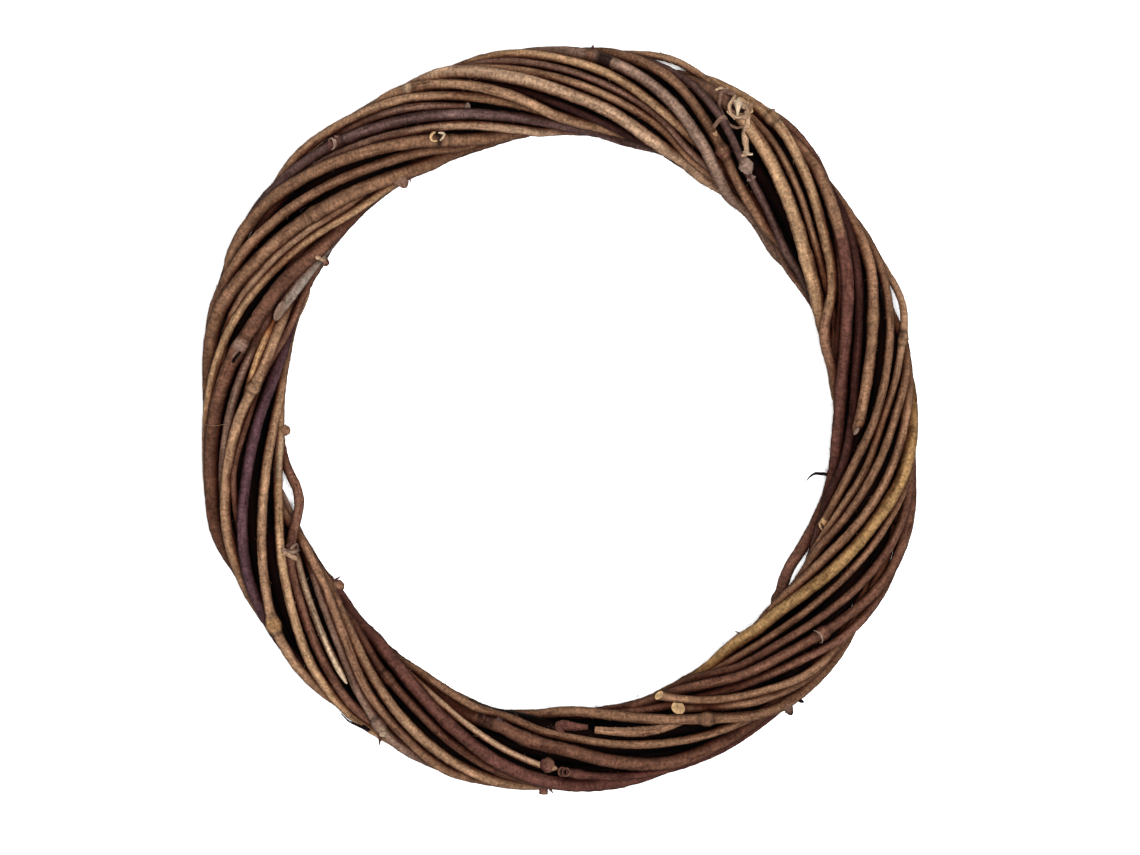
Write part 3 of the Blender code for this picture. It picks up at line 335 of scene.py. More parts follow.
def vineKnots(names):  # crossing, phase and rate of each pass, and the turns its readings get
    knots = []
    shifts = []
    for count, name in enumerate(names):
        crossing, slope = passCrossing(passes[name][2:])
        shift = 0.0
        while knots and crossing + shift < knots[-1][0] + winding["passApart"]:
            shift += 360.0
        rate = math.degrees(-slope * step / winding["halfWide"])
        rate = min(max(rate, winding["turnRateLeast"]), winding["turnRateMost"])
        knots.append((crossing + shift, 90.0 + 360.0 * count, rate))
        shifts.append(shift)
    return knots, shifts


def passesOf(vine):  # the passes of a vine, and the turns that their readings get
    if vine not in vines:
        return (vine,), (0.0,)
    return vines[vine][0], vineKnots(vines[vine][0])[1]


def rowsOn(vine, table):  # the rows of a table for one vine, each with its clock in the vine's turns
    names, shifts = passesOf(vine)
    return [(row[1] + shifts[names.index(row[0])], row) for row in table if row[0] in names]


def alongPasses(clocks, knots, values):  # steady on the front, changing on the underside
    stops = []
    for knot in knots:
        stops += [knot[0] - winding["frontBefore"], knot[0] + winding["frontAfter"]]
    return np.interp(clocks, stops, np.repeat(values, 2))


def passPull(clocks, readings, shift):  # where a pass draws its vine to, and how strongly
    places = np.array([reading[0] + shift for reading in readings], dtype=float)
    across = np.array([reading[1] * step for reading in readings], dtype=float)
    inside = np.minimum(clocks - places[0], places[-1] - clocks)
    weight = np.clip((inside + winding["easeBefore"]) / winding["easeSpan"], 0.0, 1.0)
    return np.interp(clocks, places, across), weight


def laySurfaceVine(vine):
    names, start, end = vines[vine]
    knots, shifts = vineKnots(names)
    start = knots[0][0] - winding["backStart"] if start is None else start
    end = knots[-1][0] + winding["backEnd"] if end is None else end + shifts[-1]
    clocks = np.array(stationList(start, end))
    phase = np.radians([turnedPhase(clock, knots) for clock in clocks])
    across = winding["halfWide"] * np.cos(phase)
    height = winding["halfHigh"] * np.sin(phase)
    wanted = np.zeros(len(clocks))
    pull = np.zeros(len(clocks))
    for name, shift in zip(names, shifts):
        target, weight = passPull(clocks, passes[name][2:], shift)
        wanted = np.where(weight > 0.0, target, wanted)
        pull = np.maximum(pull, weight)
        height = height + weight * passes[name][1] * winding["lift"]
    across = across + pull * (wanted - across)
    radius = alongPasses(clocks, knots, [passes[name][0] * step / 2.0 for name in names])
    room = np.zeros(len(clocks))
    for centre, (_, _, extra) in rowsOn(vine, swellings):
        share = np.clip(1.0 - np.abs(clocks - centre) / (2.0 * winding["station"]), 0.0, 1.0)
        room = np.maximum(room, extra * step / 2.0 * share)
    return {"clock": clocks, "across": across, "height": height, "radius": radius, "room": room,
            "wanted": wanted, "pull": pull, "rate": winding["turnRate"]}


def layInnerVine(name):
    slot, start, rounds = innerVines[name]
    kind = kindOf(name)
    clocks = np.array(stationList(start, start + 360.0 * rounds - winding["innerShort"]))
    phase = np.radians(slot + clocks * kind["turns"])
    across = (winding["halfWide"] - kind["inset"]) * np.cos(phase)
    height = (winding["halfHigh"] - kind["inset"]) * np.sin(phase)
    nought = np.zeros(len(clocks))
    return {"clock": clocks, "across": across, "height": height,
            "radius": np.full(len(clocks), kind["radius"]), "room": nought,
            "wanted": across.copy(), "pull": nought, "rate": kind["turns"]}


def layAll():
    paths = {name: laySurfaceVine(name) for name in vines}
    paths.update({name: layInnerVine(name) for name in innerVines})
    return paths


def joined(paths, key):
    return np.concatenate([path[key] for path in paths.values()])


def segmentStarts(paths):
    starts = []
    owners = []
    offset = 0
    for owner, path in enumerate(paths.values()):
        count = len(path["clock"])
        starts += range(offset, offset + count - 1)
        owners += [owner] * (count - 1)
        offset += count
    return np.array(starts), np.array(owners)


def candidatePairs(clock, starts, owners):  # segments in the same or the next cross-slab
    middle = (clock[starts] + clock[starts + 1]) / 2.0
    slab = np.floor(np.mod(middle, 360.0) / winding["station"]).astype(int)
    count = int(round(360.0 / winding["station"]))
    apart = np.abs(slab[:, None] - slab[None, :])
    apart = np.minimum(apart, count - apart)
    same = (owners[:, None] == owners[None, :]) & (np.abs(starts[:, None] - starts[None, :]) <= 1)
    order = np.arange(len(starts))
    first, second = np.nonzero((apart <= 1) & ~same & (order[:, None] < order[None, :]))
    return starts[first], starts[second]


def dot(left, right):
    return np.einsum("ij,ij->i", left, right)


def closest(points, first, second):  # closest places of two segments
    one = points[first + 1] - points[first]
    two = points[second + 1] - points[second]
    between = points[first] - points[second]
    a, e, b = dot(one, one), dot(two, two), dot(one, two)
    c, f = dot(one, between), dot(two, between)
    spread = np.maximum(a * e - b * b, settling["leastSpread"] * a * e)
    share = np.clip((b * f - c * e) / spread, 0.0, 1.0)
    other = np.clip((b * share + f) / e, 0.0, 1.0)
    share = np.clip((b * other - c) / a, 0.0, 1.0)
    gap = between + one * share[:, None] - two * other[:, None]
    return share, other, gap, np.sqrt(dot(gap, gap))


def pushApart(points, radius, first, second, strength):  # moves that part vines closer than the gap
    share, other, gap, length = closest(points, first, second)
    sizeOne = radius[first] * (1 - share) + radius[first + 1] * share
    sizeTwo = radius[second] * (1 - other) + radius[second + 1] * other
    lack = sizeOne + sizeTwo + winding["gap"] - length
    close = lack > 0.0
    share, other, lack = share[close], other[close], lack[close]
    way = gap[close] / np.maximum(length[close], settling["leastLength"])[:, None]
    first, second = first[close], second[close]
    scale = strength * 0.5 * lack
    moves = np.zeros_like(points)
    counts = np.zeros(len(points))
    weights = ((first, 1 - share, 1.0), (first + 1, share, 1.0), (second, 1 - other, -1.0),
               (second + 1, other, -1.0))
    for index, weight, sign in weights:
        np.add.at(moves, index, sign * (scale * weight)[:, None] * way)
        np.add.at(counts, index, weight)
    return moves / np.maximum(counts, settling["leastShare"])[:, None]


def smoothMove(values, ends, bend):  # how far each station lies off the curve through its neighbours
    move = np.zeros_like(values)
    move[1:-1] = (values[:-2] + values[2:]) / (2.0 * bend[1:-1]) - values[1:-1]
    move[ends] = 0.0
    return move


def edgeLimits(clock, radius):  # how far in and out a vine may lie inside the band's outline
    clocks, inner, outer = np.array((*outline, (360.0, *outline[0][1:]))).T
    turned = np.mod(clock, 360.0)
    middle = ringRadius(clock)
    return (np.interp(turned, clocks, inner * step) - middle + radius,
            np.interp(turned, clocks, outer * step) - middle - radius)


def settle(paths):  # pull the vines to their places and push them clear of one another
    clock = joined(paths, "clock")
    radius = joined(paths, "radius") * winding["roundUp"] + joined(paths, "room")
    across, height = joined(paths, "across"), joined(paths, "height")
    wanted, pull = joined(paths, "wanted"), joined(paths, "pull")
    bend = np.concatenate([np.full(len(p["clock"]), math.cos(math.radians(p["rate"] * winding["station"])))
                           for p in paths.values()])
    starts, owners = segmentStarts(paths)
    sizes = [len(path["clock"]) for path in paths.values()]
    lasts = np.cumsum(sizes) - 1
    ends = np.concatenate((lasts, lasts - np.array(sizes) + 1))
    out = np.stack((np.sin(np.radians(clock)), np.cos(np.radians(clock))), axis=-1)
    allPairs = candidatePairs(clock, starts, owners)
    floor = -winding["halfHigh"] - winding["floorPress"]
    least, most = edgeLimits(clock, radius)
    read = pull > settling["readPull"]
    least = np.where(read, np.minimum(least, wanted), least)
    most = np.where(read, np.maximum(most, wanted), most)
    relax = settling["relax"]
    for count in range(relax + settling["separate"]):
        points = place(clock, across, height)
        if count % settling["nearEvery"] == 0:
            near = closest(points, *allPairs)[3] < settling["near"]
            pairs = allPairs[0][near], allPairs[1][near]
        calm = max(0.0, 1.0 - count / relax)
        left = (relax + settling["hold"] - count) / settling["letGo"]
        hold = max(settling["holdPull"] * min(1.0, left), settling["pull"] * calm, 0.0)
        moves = pushApart(points, radius, *pairs, settling["push"])
        across = across + dot(moves[:, :2], out) + hold * pull * (wanted - across)
        height = height + moves[:, 2]
        across = across + calm * settling["smooth"] * (1.0 - pull) * smoothMove(across, ends, bend)
        height = height + calm * settling["smooth"] * smoothMove(height, ends, bend)
        across = across * (1.0 - settling["drawAcross"] * calm * (1.0 - pull))
        height = height * (1.0 - settling["drawHeight"] * calm)
        across = np.clip(across, least, most)
        height = np.maximum(height, floor)
    offset = 0
    for path in paths.values():
        size = len(path["clock"])
        path["across"] = across[offset:offset + size]
        path["height"] = height[offset:offset + size]
        offset += size
    return paths


def layDown(paths):  # let the ring sag onto the floor all the way round
    count = int(round(360.0 / winding["station"]))
    clock = joined(paths, "clock")
    under = joined(paths, "height") - joined(paths, "radius") * winding["flatShare"]
    lowest = np.full(count, 1.0)
    np.minimum.at(lowest, np.round(clock / winding["station"]).astype(int) % count, under)
    sag = sum(share * np.roll(lowest, turn) for share, turn in winding["sagSpread"])
    planes = np.arange(count + 1) * winding["station"]
    sag = np.append(sag, sag[0])
    for path in paths.values():
        path["height"] = path["height"] - np.interp(path["clock"] % 360.0, planes, sag)
    under = joined(paths, "height") - joined(paths, "radius") * winding["flatShare"]
    for path in paths.values():
        path["height"] = path["height"] - under.min() - winding["floorPress"]
    return paths


paths = layDown(settle(layAll()))
print("stage: the vines are wound,", len(paths))

# Tones of dry bark, as 0 to 255 colours.
tones = {
    "straw": (167, 133, 105),
    "paleTan": (156, 123, 97),
    "golden": (147, 113, 84),
    "ochre": (141, 104, 70),
    "honey": (133, 100, 76),
    "tan": (123, 90, 68),
    "warmBrown": (116, 84, 64),
    "greyBrown": (110, 82, 68),
    "brown": (103, 71, 57),
    "redBrown": (90, 61, 48),
    "umber": (84, 54, 46),
    "duskBrown": (64, 40, 35),
    "greyPlum": (90, 68, 63),
    "ashBrown": (131, 106, 92),
    "drab": (121, 95, 80),
    "ashTan": (150, 133, 119),
    "slate": (77, 57, 51),
    "khaki": (130, 98, 64),
    "deepPlum": (74, 52, 54),
    "hazel": (108, 78, 59),
    "deepBrown": (54, 34, 31),
    "paintedInnerShade": (30, 16, 13),
    "night": (30, 19, 20),
    "wood": (212, 168, 120),
    "paleScar": (176, 150, 122),
    "lichen": (112, 103, 92),
    "soot": (24, 18, 20),
}
# The tone of each pass.
passTones = {
    "p00": "paleTan", "p01": "honey", "p02": "greyBrown", "p03": "golden", "p04": "drab",
    "p05": "hazel", "p06": "slate", "p07": "golden", "p08": "honey", "p09": "golden", "p10": "brown",
    "p11": "umber", "p12": "duskBrown", "p13": "tan", "p14": "hazel", "p15": "honey", "p16": "hazel",
    "p17": "tan", "p18": "khaki", "p19": "warmBrown", "p20": "redBrown", "p21": "redBrown",
    "p22": "brown", "p23": "tan", "p24": "warmBrown", "p25": "hazel", "p26": "hazel", "p27": "redBrown",
    "p28": "straw", "p29": "umber", "p30": "redBrown", "p31": "honey", "p32": "warmBrown",
    "p33": "drab", "p34": "brown", "p35": "golden", "p36": "honey", "p37": "deepPlum", "p38": "brown",
    "p39": "honey", "p40": "drab", "p41": "redBrown", "p42": "golden", "p43": "paleTan", "p44": "hazel",
    "p45": "warmBrown", "p46": "hazel", "p47": "greyBrown", "p48": "greyPlum", "p49": "greyBrown",
    "p50": "honey", "p51": "honey", "p52": "deepBrown", "q00": "paleScar", "q01": "wood",
    "q02": "ashTan", "q03": "umber",
}


gamma = 2.2


def linear(name):  # a tone as linear light
    return np.array([(c / 255.0) ** gamma for c in tones[name]])


# The finest measures of a vine's own shape, in metres unless said.
stem = {
    "spacing": 0.42,  # clock degrees between rings
    "innerSpacing": 1.5,
    "sides": 16,
    "innerSides": 8,
    "wobble": 0.00016,
    "wobbleLength": 14.0,  # clock degrees
    "grain": 0.040,  # share of the radius
    "innerGrain": 0.024,
    "fuller": 0.00014,  # added to each radius, so that the vines touch
    "boxEase": 0.0011,
    "lowest": 0.00005,
    "weld": 0.000002,
    "ahead": 0.5,  # clock degrees over which a vine's run is taken
    "upright": 0.1,  # a twig whose run leans less than this from straight up
}
# Ridges and grain of the bark: how often they go round, and their (length, share) along the vine.
relief = {
    "ridge": 0.035,  # share of the radius
    "ridgeFolds": (2, 3, 5),
    "ridgeTurn": (30.0, 1.2),
    "ridgeFade": (12.0, 0.4),
    "grainFolds": (0, 1, 2, 4, 6),
    "grainWaves": ((4.0, 0.5), (1.7, 0.8), (0.6, 1.7)),
    "grainShare": 0.33,
}
# Nodes, collars and swellings: lengths and places in clock degrees, sizes as shares of the radius.
# A shade is how dark it is, how far from the middle, and half its length.
nodes = {
    "first": (6.0, 30.0),
    "last": 4.0,
    "every": (26.0, 60.0),
    "size": (0.03, 0.10),
    "half": 0.9,
    "shade": (0.25, 0.6, 0.3),
    "collarLobes": (3, 0.3),
    "collarShades": (0.6, 0.5),
    "collarEdge": 1.5,
    "collarShadeHalf": 0.3,
    "swellHalf": 1.5,
    "swellFacing": 0.25,
    "swellShade": (0.3, 0.9, 0.4),
}
# Cut ends: finer rings and their reach in clock degrees, then how a tip tapers, flares and slants.
cutting = {
    "rings": (0.05, 0.12, 0.22, 0.34, 0.48),
    "clear": 0.7,
    "taper": 1.6,
    "thinTip": 0.3,
    "thinTaper": 0.4,
    "flare": 0.8,
    "slantRadius": 0.002,  # metres
    "leastReach": 0.1,
    "rim": (0.14, 0.05),  # width and depth as shares of the end's radius
    # A hollow end keeps only a small share of its tone inside the rim: painted shade in the recess.
    "hollow": (0.30, 0.3, 0.06),  # width, depth and share of the tone of what lies inside the rim
    "pith": (0.45, 0.04, 0.7),
}
# Tones that a cut face can have. A face's code is its place here times ten, plus 1, or 2 if hollow.
faceTones = ("wood", "paleScar", "ashBrown", "drab", "brown", "umber", "soot", "tan", "golden")
# What the cut ends show: vine, which end, slant, the side it faces in degrees (0 up, 90 outwards),
# share of the width left at the tip, flare, hollow or not, tone.
cutEnds = {
    "vine_01": ((0, 0.5, 0.0, 0.95, 0.0, False, "wood"), (1, 0.7, 0.0, 1.0, 0.30, False, "ashBrown")),
    "vine_07": ((1, 1.1, -30.0, 0.95, 0.12, True, "wood"),),
    "vine_08": ((1, 1.2, 0.0, 1.0, 0.62, False, "wood"),),
    "vine_09": ((1, 1.9, 25.0, 0.40, 0.0, False, "ashBrown"),),
    "vine_10": ((1, 1.1, -30.0, 1.0, 0.15, False, "wood"),),
    "twig_01": ((0, 2.6, 180.0, 0.12, 0.0, False, "brown"), (1, 1.4, 0.0, 0.5, 0.0, False, "ashBrown")),
    "twig_02": ((0, 0.5, 0.0, 0.9, 0.0, False, "paleScar"), (1, 0.5, 0.0, 0.9, 0.0, False, "paleScar")),
    "twig_03": ((0, 2.2, 10.0, 0.85, 0.0, False, "drab"), (1, 0.3, 0.0, 0.8, 0.0, False, "umber")),
    "twig_04": ((0, 0.5, 0.0, 0.9, 0.0, False, "umber"), (1, 0.8, 0.0, 1.0, 0.35, True, "brown")),
}


def unit(rows):
    return rows / np.maximum(np.linalg.norm(rows, axis=-1, keepdims=True), 1e-12)


def smoothAlong(places, values, at):  # curve through uneven places
    slopes = np.gradient(values, places)
    index = np.clip(np.searchsorted(places, at, side="right") - 1, 0, len(places) - 2)
    span = places[index + 1] - places[index]
    t = (at - places[index]) / span
    return easeCurve(t, span, values[index], slopes[index], values[index + 1], slopes[index + 1])


def drift(at, length, rng):  # smooth seeded wandering between -1 and 1
    knots = np.arange(at.min() - 2 * length, at.max() + 3 * length, length)
    return smoothAlong(knots, rng.uniform(-1.0, 1.0, len(knots)), at)


def bump(clocks, centre, half):  # a smooth hill of height 1, as a column
    return np.exp(-((clocks - centre) / half) ** 2)[:, None]


def closed(columns):  # the first column again behind the last, to close a round
    return np.concatenate((columns, columns[:, :1]), axis=1)


def stand(clock, across, height):  # a place in the model, where the ring's axis stands
    return place(clock, across, height) + axisSpot


def sectionFrames(points):  # outward and upward directions square to a vine's run
    along = unit(np.gradient(points, axis=0))
    outward = points - axisSpot
    outward[:, 2] = 0.0
    outward = unit(outward)
    outward = unit(outward - along * dot(outward, along)[:, None])
    return outward, unit(np.cross(along, outward))


def carriedFrames(points):  # directions carried along a free twig without twist
    along = unit(np.gradient(points, axis=0))
    first = np.cross(along[0], (0.0, 0.0, 1.0))
    if np.linalg.norm(first) < stem["upright"]:
        first = np.cross(along[0], (0.0, 1.0, 0.0))
    sideways = [unit(first)]
    for way in along[1:]:
        sideways.append(unit(sideways[-1] - way * np.dot(sideways[-1], way)))
    sideways = np.array(sideways)
    return sideways, unit(np.cross(along, sideways))


def ringGrid(points, frames, radius, angles):  # rings of points, (rings, sides + 1, 3)
    sideways, upward = (way[:, None, :] for way in frames)
    spread = sideways * np.cos(angles)[None, :, None] + upward * np.sin(angles)[None, :, None]
    return points[:, None, :] + spread * radius[..., None]


def roundAngles(sides):  # the seam faces down
    return -math.pi / 2.0 + np.linspace(0.0, 2.0 * math.pi, sides + 1)


def sideShare(angles, facing):  # 1 on the side that faces so many degrees outwards from up, to -1
    return np.cos(angles - math.pi / 2.0 + math.radians(facing))


def barkSwell(clocks, angles, grain, rng):  # share by which bark stands out round a stem
    swell = np.zeros((len(clocks), len(angles)))
    turnLength, turn = relief["ridgeTurn"]
    fadeLength, fade = relief["ridgeFade"]
    for fold in relief["ridgeFolds"]:
        phase = rng.uniform(0, 2 * math.pi) + drift(clocks, turnLength, rng) * turn
        size = relief["ridge"] / fold ** 0.5 * (1.0 - fade + fade * drift(clocks, fadeLength, rng))
        swell += size[:, None] * np.cos(fold * angles[None, :] + phase[:, None])
    for length, share in relief["grainWaves"]:
        for fold in relief["grainFolds"]:
            even, odd = (drift(clocks, length, rng)[:, None] for _ in range(2))
            size = grain * share * relief["grainShare"]
            swell += size * (even * np.cos(fold * angles) + odd * np.sin(fold * angles))
    return swell


def nodePlaces(clocks, rng):  # small nodes where leaves once stood
    places = []
    at = clocks[0] + rng.uniform(*nodes["first"])
    while at < clocks[-1] - nodes["last"]:
        places.append((at, rng.uniform(*nodes["size"]), rng.uniform(0, 2 * math.pi)))
        at += rng.uniform(*nodes["every"])
    return places


def vineTones(name, clocks):
    if name not in vines:
        # Vines below the outer ones take a near-black tone, darker still in the core: painted shade deep
        # inside the band.
        return np.repeat((linear("paintedInnerShade") * kindOf(name)["light"])[None, :], len(clocks), axis=0)
    names = vines[name][0]
    knots = vineKnots(names)[0]
    colours = np.array([linear(passTones[passName]) for passName in names])
    return np.stack([alongPasses(clocks, knots, colours[:, k]) for k in range(3)], axis=-1)


# Small moves of the scene's vines alone: pass, clock, half the length in degrees, steps outwards
# and upwards.
nudges = (
    ("p08", 17.0, 5.0, 1.5, 0.0), ("p06", 17.0, 4.5, -2.0, 0.0), ("p09", 17.0, 4.5, -5.5, 0.0),
    ("p07", 17.0, 4.5, -4.5, 0.0), ("p34", 255.5, 6.5, -3.2, 0.0), ("p31", 256.0, 9.0, 12.5, 0.0),
    ("p32", 256.0, 9.0, 12.0, 0.0), ("p29", 256.0, 9.0, 11.0, 0.0), ("p27", 186.5, 6.0, 8.0, 0.0),
    ("p26", 185.0, 5.0, 4.0, 0.0), ("p16", 97.0, 9.0, 2.0, 2.0), ("p15", 71.0, 5.0, 2.3, 0.0),
    ("p16", 71.0, 5.0, -8.0, 0.0), ("p19", 71.0, 5.0, -7.0, 0.0), ("p43", 300.0, 16.0, 0.0, 8.0),
    ("p49", 334.0, 9.0, 0.0, 8.0), ("p38", 261.0, 9.0, 0.0, 9.0), ("q01", 281.0, 9.0, 0.0, 10.0),
    ("p24", 147.0, 9.0, 0.0, 6.0), ("p33", 226.0, 13.0, 0.0, 4.0), ("p28", 198.0, 14.0, 0.0, 2.0),
    ("p40", 276.0, 10.0, 0.0, 3.0), ("p47", 335.0, 16.0, 0.0, 3.0), ("p10", 48.0, 10.0, 0.0, 2.0),
    ("p12", 121.5, 5.5, 5.5, 0.0), ("p15", 121.5, 6.0, 2.5, 0.0), ("p16", 121.5, 6.0, 1.5, 0.0),
    ("p11", 121.0, 5.0, -1.2, 0.0), ("p26", 193.0, 7.0, 5.5, 0.0), ("p25", 193.0, 7.0, 5.5, 0.0),
    ("p21", 192.0, 7.0, 4.5, 0.0), ("p22", 193.0, 7.0, 5.5, 0.0), ("middle_04", 1993.0, 7.0, 6.0, 0.0),
    ("p00", 391.0, 6.0, -4.5, 0.0), ("p29", 232.0, 5.0, -3.5, 0.0), ("p41", 316.0, 7.0, 4.2, 0.0),
    ("q02", 315.0, 8.0, 2.8, 0.0), ("p37", 291.0, 6.0, 2.6, 0.0), ("p35", 291.0, 6.0, 2.6, 0.0),
    ("p36", 290.0, 6.0, 2.0, 0.0), ("p48", 374.0, 6.0, -3.6, 0.0), ("p11", 130.0, 3.0, -4.0, 0.0),
    ("p18", 137.0, 4.0, 2.6, 0.0), ("p18", 163.0, 5.0, 3.0, 0.0), ("p21", 163.0, 5.0, 3.4, 0.0),
    ("p20", 163.0, 5.0, 2.0, 0.0), ("q02", 306.0, 12.0, 0.0, 5.0), ("q01", 287.0, 5.0, 0.0, 6.0),
)


def nudge(name, clocks):  # how far a vine is moved outwards and upwards
    moved = np.zeros((2, len(clocks)))
    for centre, (_, _, half, outward, upward) in rowsOn(name, nudges):
        moved += np.array([[outward], [upward]]) * step * bump(clocks, centre, half)[:, 0]
    return moved


# Vines that pass under the inner edge stand back a little from it.
tuck = {"from": -33.0, "across": 9.0, "below": 60.0, "height": 16.0, "steps": 4.5}


def tuckIn(across, height):
    near = np.clip((tuck["from"] * step - across) / (tuck["across"] * step), 0.0, 1.0)
    low = np.clip((tuck["below"] * step - height) / (tuck["height"] * step), 0.0, 1.0)
    return tuck["steps"] * step * near * near * (3 - 2 * near) * low * low * (3 - 2 * low)


def vineSpine(name, path, rng):  # fine middle line of a vine, with finer rings at its cut ends
    spacing = stem["spacing"] if name in vines else stem["innerSpacing"]
    first, last = path["clock"][0], path["clock"][-1]
    clocks = np.linspace(first, last, int((last - first) / spacing) + 1)
    for end in cutEnds.get(name, ()):
        at, sign = (first, 1.0) if end[0] == 0 else (last, -1.0)
        clocks = clocks[np.abs(clocks - at) > cutting["clear"]]
        clocks = np.concatenate((clocks, [at], at + sign * np.array(cutting["rings"])))
    clocks = np.sort(clocks)
    across, height = (smoothAlong(path["clock"], path[key], clocks)
                      + drift(clocks, stem["wobbleLength"], rng) * stem["wobble"]
                      for key in ("across", "height"))
    across += tuckIn(across, height)
    outward, upward = nudge(name, clocks)
    radius = np.interp(clocks, path["clock"], path["radius"]) + stem["fuller"]
    return clocks, stand(clocks, across + outward, height + upward), radius


# Thick collars round the vines: pass, clock, share of the radius, half its length in degrees.
collars = (
    ("p04", 5.3, 0.14, 0.5), ("p09", 35.3, 0.16, 0.6), ("p48", 321.8, 0.12, 0.5),
    ("p21", 128.8, 0.16, 0.7), ("p33", 210.6, 0.20, 0.8), ("p36", 234.6, 0.32, 1.1),
    ("p51", 335.8, 0.10, 0.4), ("p46", 337.2, 0.10, 0.8), ("p05", 31.3, 0.32, 0.9),
    ("q02", 297.0, 0.24, 4.5), ("p39", 276.0, 0.16, 0.6), ("p30", 213.6, 0.16, 1.0),
    ("p25", 153.6, 0.18, 0.8), ("p08", 27.6, 0.16, 0.7), ("p15", 76.6, 0.25, 0.7),
    ("p41", 283.0, 0.06, 1.4), ("p44", 310.4, 0.06, 0.8), ("q02", 304.2, 0.14, 0.6),
    ("p35", 266.5, 0.10, 1.2),
)


def nodeSwell(name, clocks, angles, rng):  # how nodes swell and shade a vine
    swell = np.zeros((len(clocks), len(angles)))
    shade = np.ones_like(swell)
    if name in vines:
        dark, off, width = nodes["shade"]
        for centre, size, side in nodePlaces(clocks, rng):
            facing = 0.5 + 0.5 * np.cos(angles - side)
            swell += size * bump(clocks, centre, nodes["half"]) * facing
            shade *= 1.0 - dark * bump(clocks, centre + off, width) * facing
    lobes, lobe = nodes["collarLobes"]
    before, after = nodes["collarShades"]
    width = nodes["collarShadeHalf"]
    for centre, (_, _, size, half) in rowsOn(name, collars):
        flat = np.exp(-((clocks - centre) / half) ** 4)[:, None]
        swell += size * flat * (1.0 + lobe * np.cos(lobes * angles))
        edge = half * nodes["collarEdge"]
        shade *= (1.0 - before * bump(clocks, centre - edge, width)
                  - after * bump(clocks, centre + edge, width))
    share = nodes["swellFacing"]
    dark, off, width = nodes["swellShade"]
    for centre, (passName, _, extra) in rowsOn(name, swellings):
        size = extra / passes[passName][0]
        facing = 1.0 - share + share * sideShare(angles, 0.0)
        swell += size * bump(clocks, centre, nodes["swellHalf"]) * facing
        shade *= 1.0 - dark * bump(clocks, centre + off, width)
    return swell, shade


def paintMarks(name, clocks, angles, tone):  # scars, lichen and dark bands on one side of a vine
    for centre, (_, _, half, facing, toneName, share) in rowsOn(name, marks):
        there = np.clip(brush["edge"] * (brush["reach"] - np.abs(clocks - centre) / half), 0.0, 1.0)
        facingIt = np.clip(brush["wrap"] + brush["turn"] * sideShare(angles, facing), 0.0, 1.0)
        weight = share * there[:, None] * facingIt[None, :]
        tone += weight[..., None] * (linear(toneName) - tone)


def shapeEnds(name, clocks, points, radius, angles, rings):  # slants, tapers and flares of the cut ends
    ends = np.zeros(rings.shape[:2])
    middle = points[:, None, :]
    for end, slant, facing, tip, flare, hollow, toneName in cutEnds.get(name, ()):
        row, near = (0, 1) if end == 0 else (-1, -2)
        away = np.abs(clocks - clocks[row])
        quick = cutting["thinTaper"] if tip < cutting["thinTip"] else 1.0
        taper = np.clip(away / cutting["taper"] * quick, 0.0, 1.0)
        size = tip + (1.0 - tip) * np.sqrt(1.0 - (1.0 - taper) ** 2)
        size += flare * np.exp(-(away / cutting["flare"]) ** 2)
        rings[:] = middle + (rings - middle) * size[:, None, None]
        reach = max(slant * radius[row] / cutting["slantRadius"], cutting["leastReach"])
        share = np.clip(1.0 - away / (2.0 * reach), 0.0, 1.0)
        shift = -slant * radius[row] * size[row] * sideShare(angles, facing)[None, :] * share[:, None]
        rings += unit(points[row] - points[near]) * shift[..., None]
        ends[row] = faceTones.index(toneName) * 10 + (2 if hollow else 1)
    return ends


def vineTube(name, path, rng):
    inner = name not in vines
    clocks, points, radius = vineSpine(name, path, rng)
    angles = roundAngles(stem["innerSides"] if inner else stem["sides"])
    swell = barkSwell(clocks, angles[:-1], stem["innerGrain"] if inner else stem["grain"], rng)
    knots, shade = nodeSwell(name, clocks, angles[:-1], rng)
    rings = ringGrid(points, sectionFrames(points), radius[:, None] * (1.0 + closed(swell + knots)), angles)
    tone = vineTones(name, clocks)[:, None, :] * closed(shade)[..., None]
    paintMarks(name, clocks, angles, tone)
    return {"rings": rings, "tone": tone, "ends": shapeEnds(name, clocks, points, radius, angles, rings)}


# How much of the sky each place sees, which is painted into the bark's colour: painted shade in the crevices
# between the vines, painted highlight on their open tops. Rays are cast from every few rings, and a place
# that faces sideways counts as darker, painted shade on each vine's flanks.
paintedShade = {
    "rays": 14,
    "reach": 0.010,  # metres, as the start
    "start": 0.0003,
    "spread": 0.97,
    "every": 4,
    "coarse": 2,
    "blur": 0.25,
    "side": 0.66,
}


def coarseTree(tubes):  # the vines' surfaces with few faces, to cast rays against
    spots, faces, start = [], [], 0
    coarse = paintedShade["coarse"]
    for tube in tubes:
        rows = tube["rings"][::coarse, ::coarse]
        index = start + np.arange(rows.shape[0] * rows.shape[1]).reshape(rows.shape[:2])
        quads = np.stack((index[:-1, :-1], index[:-1, 1:], index[1:, 1:], index[1:, :-1]), axis=-1)
        faces.append(quads.reshape(-1, 4))
        spots.append(rows.reshape(-1, 3))
        start += index.size
    return BVHTree.FromPolygons(np.concatenate(spots).tolist(), np.concatenate(faces).tolist())


def evenBall(count):  # directions spread evenly over a ball
    index = np.arange(count) + 0.5
    tilt = np.arccos(1.0 - 2.0 * index / count)
    turn = math.pi * (1.0 + 5.0 ** 0.5) * index
    return np.stack((np.cos(turn) * np.sin(tilt), np.sin(turn) * np.sin(tilt), np.cos(tilt)), axis=-1)


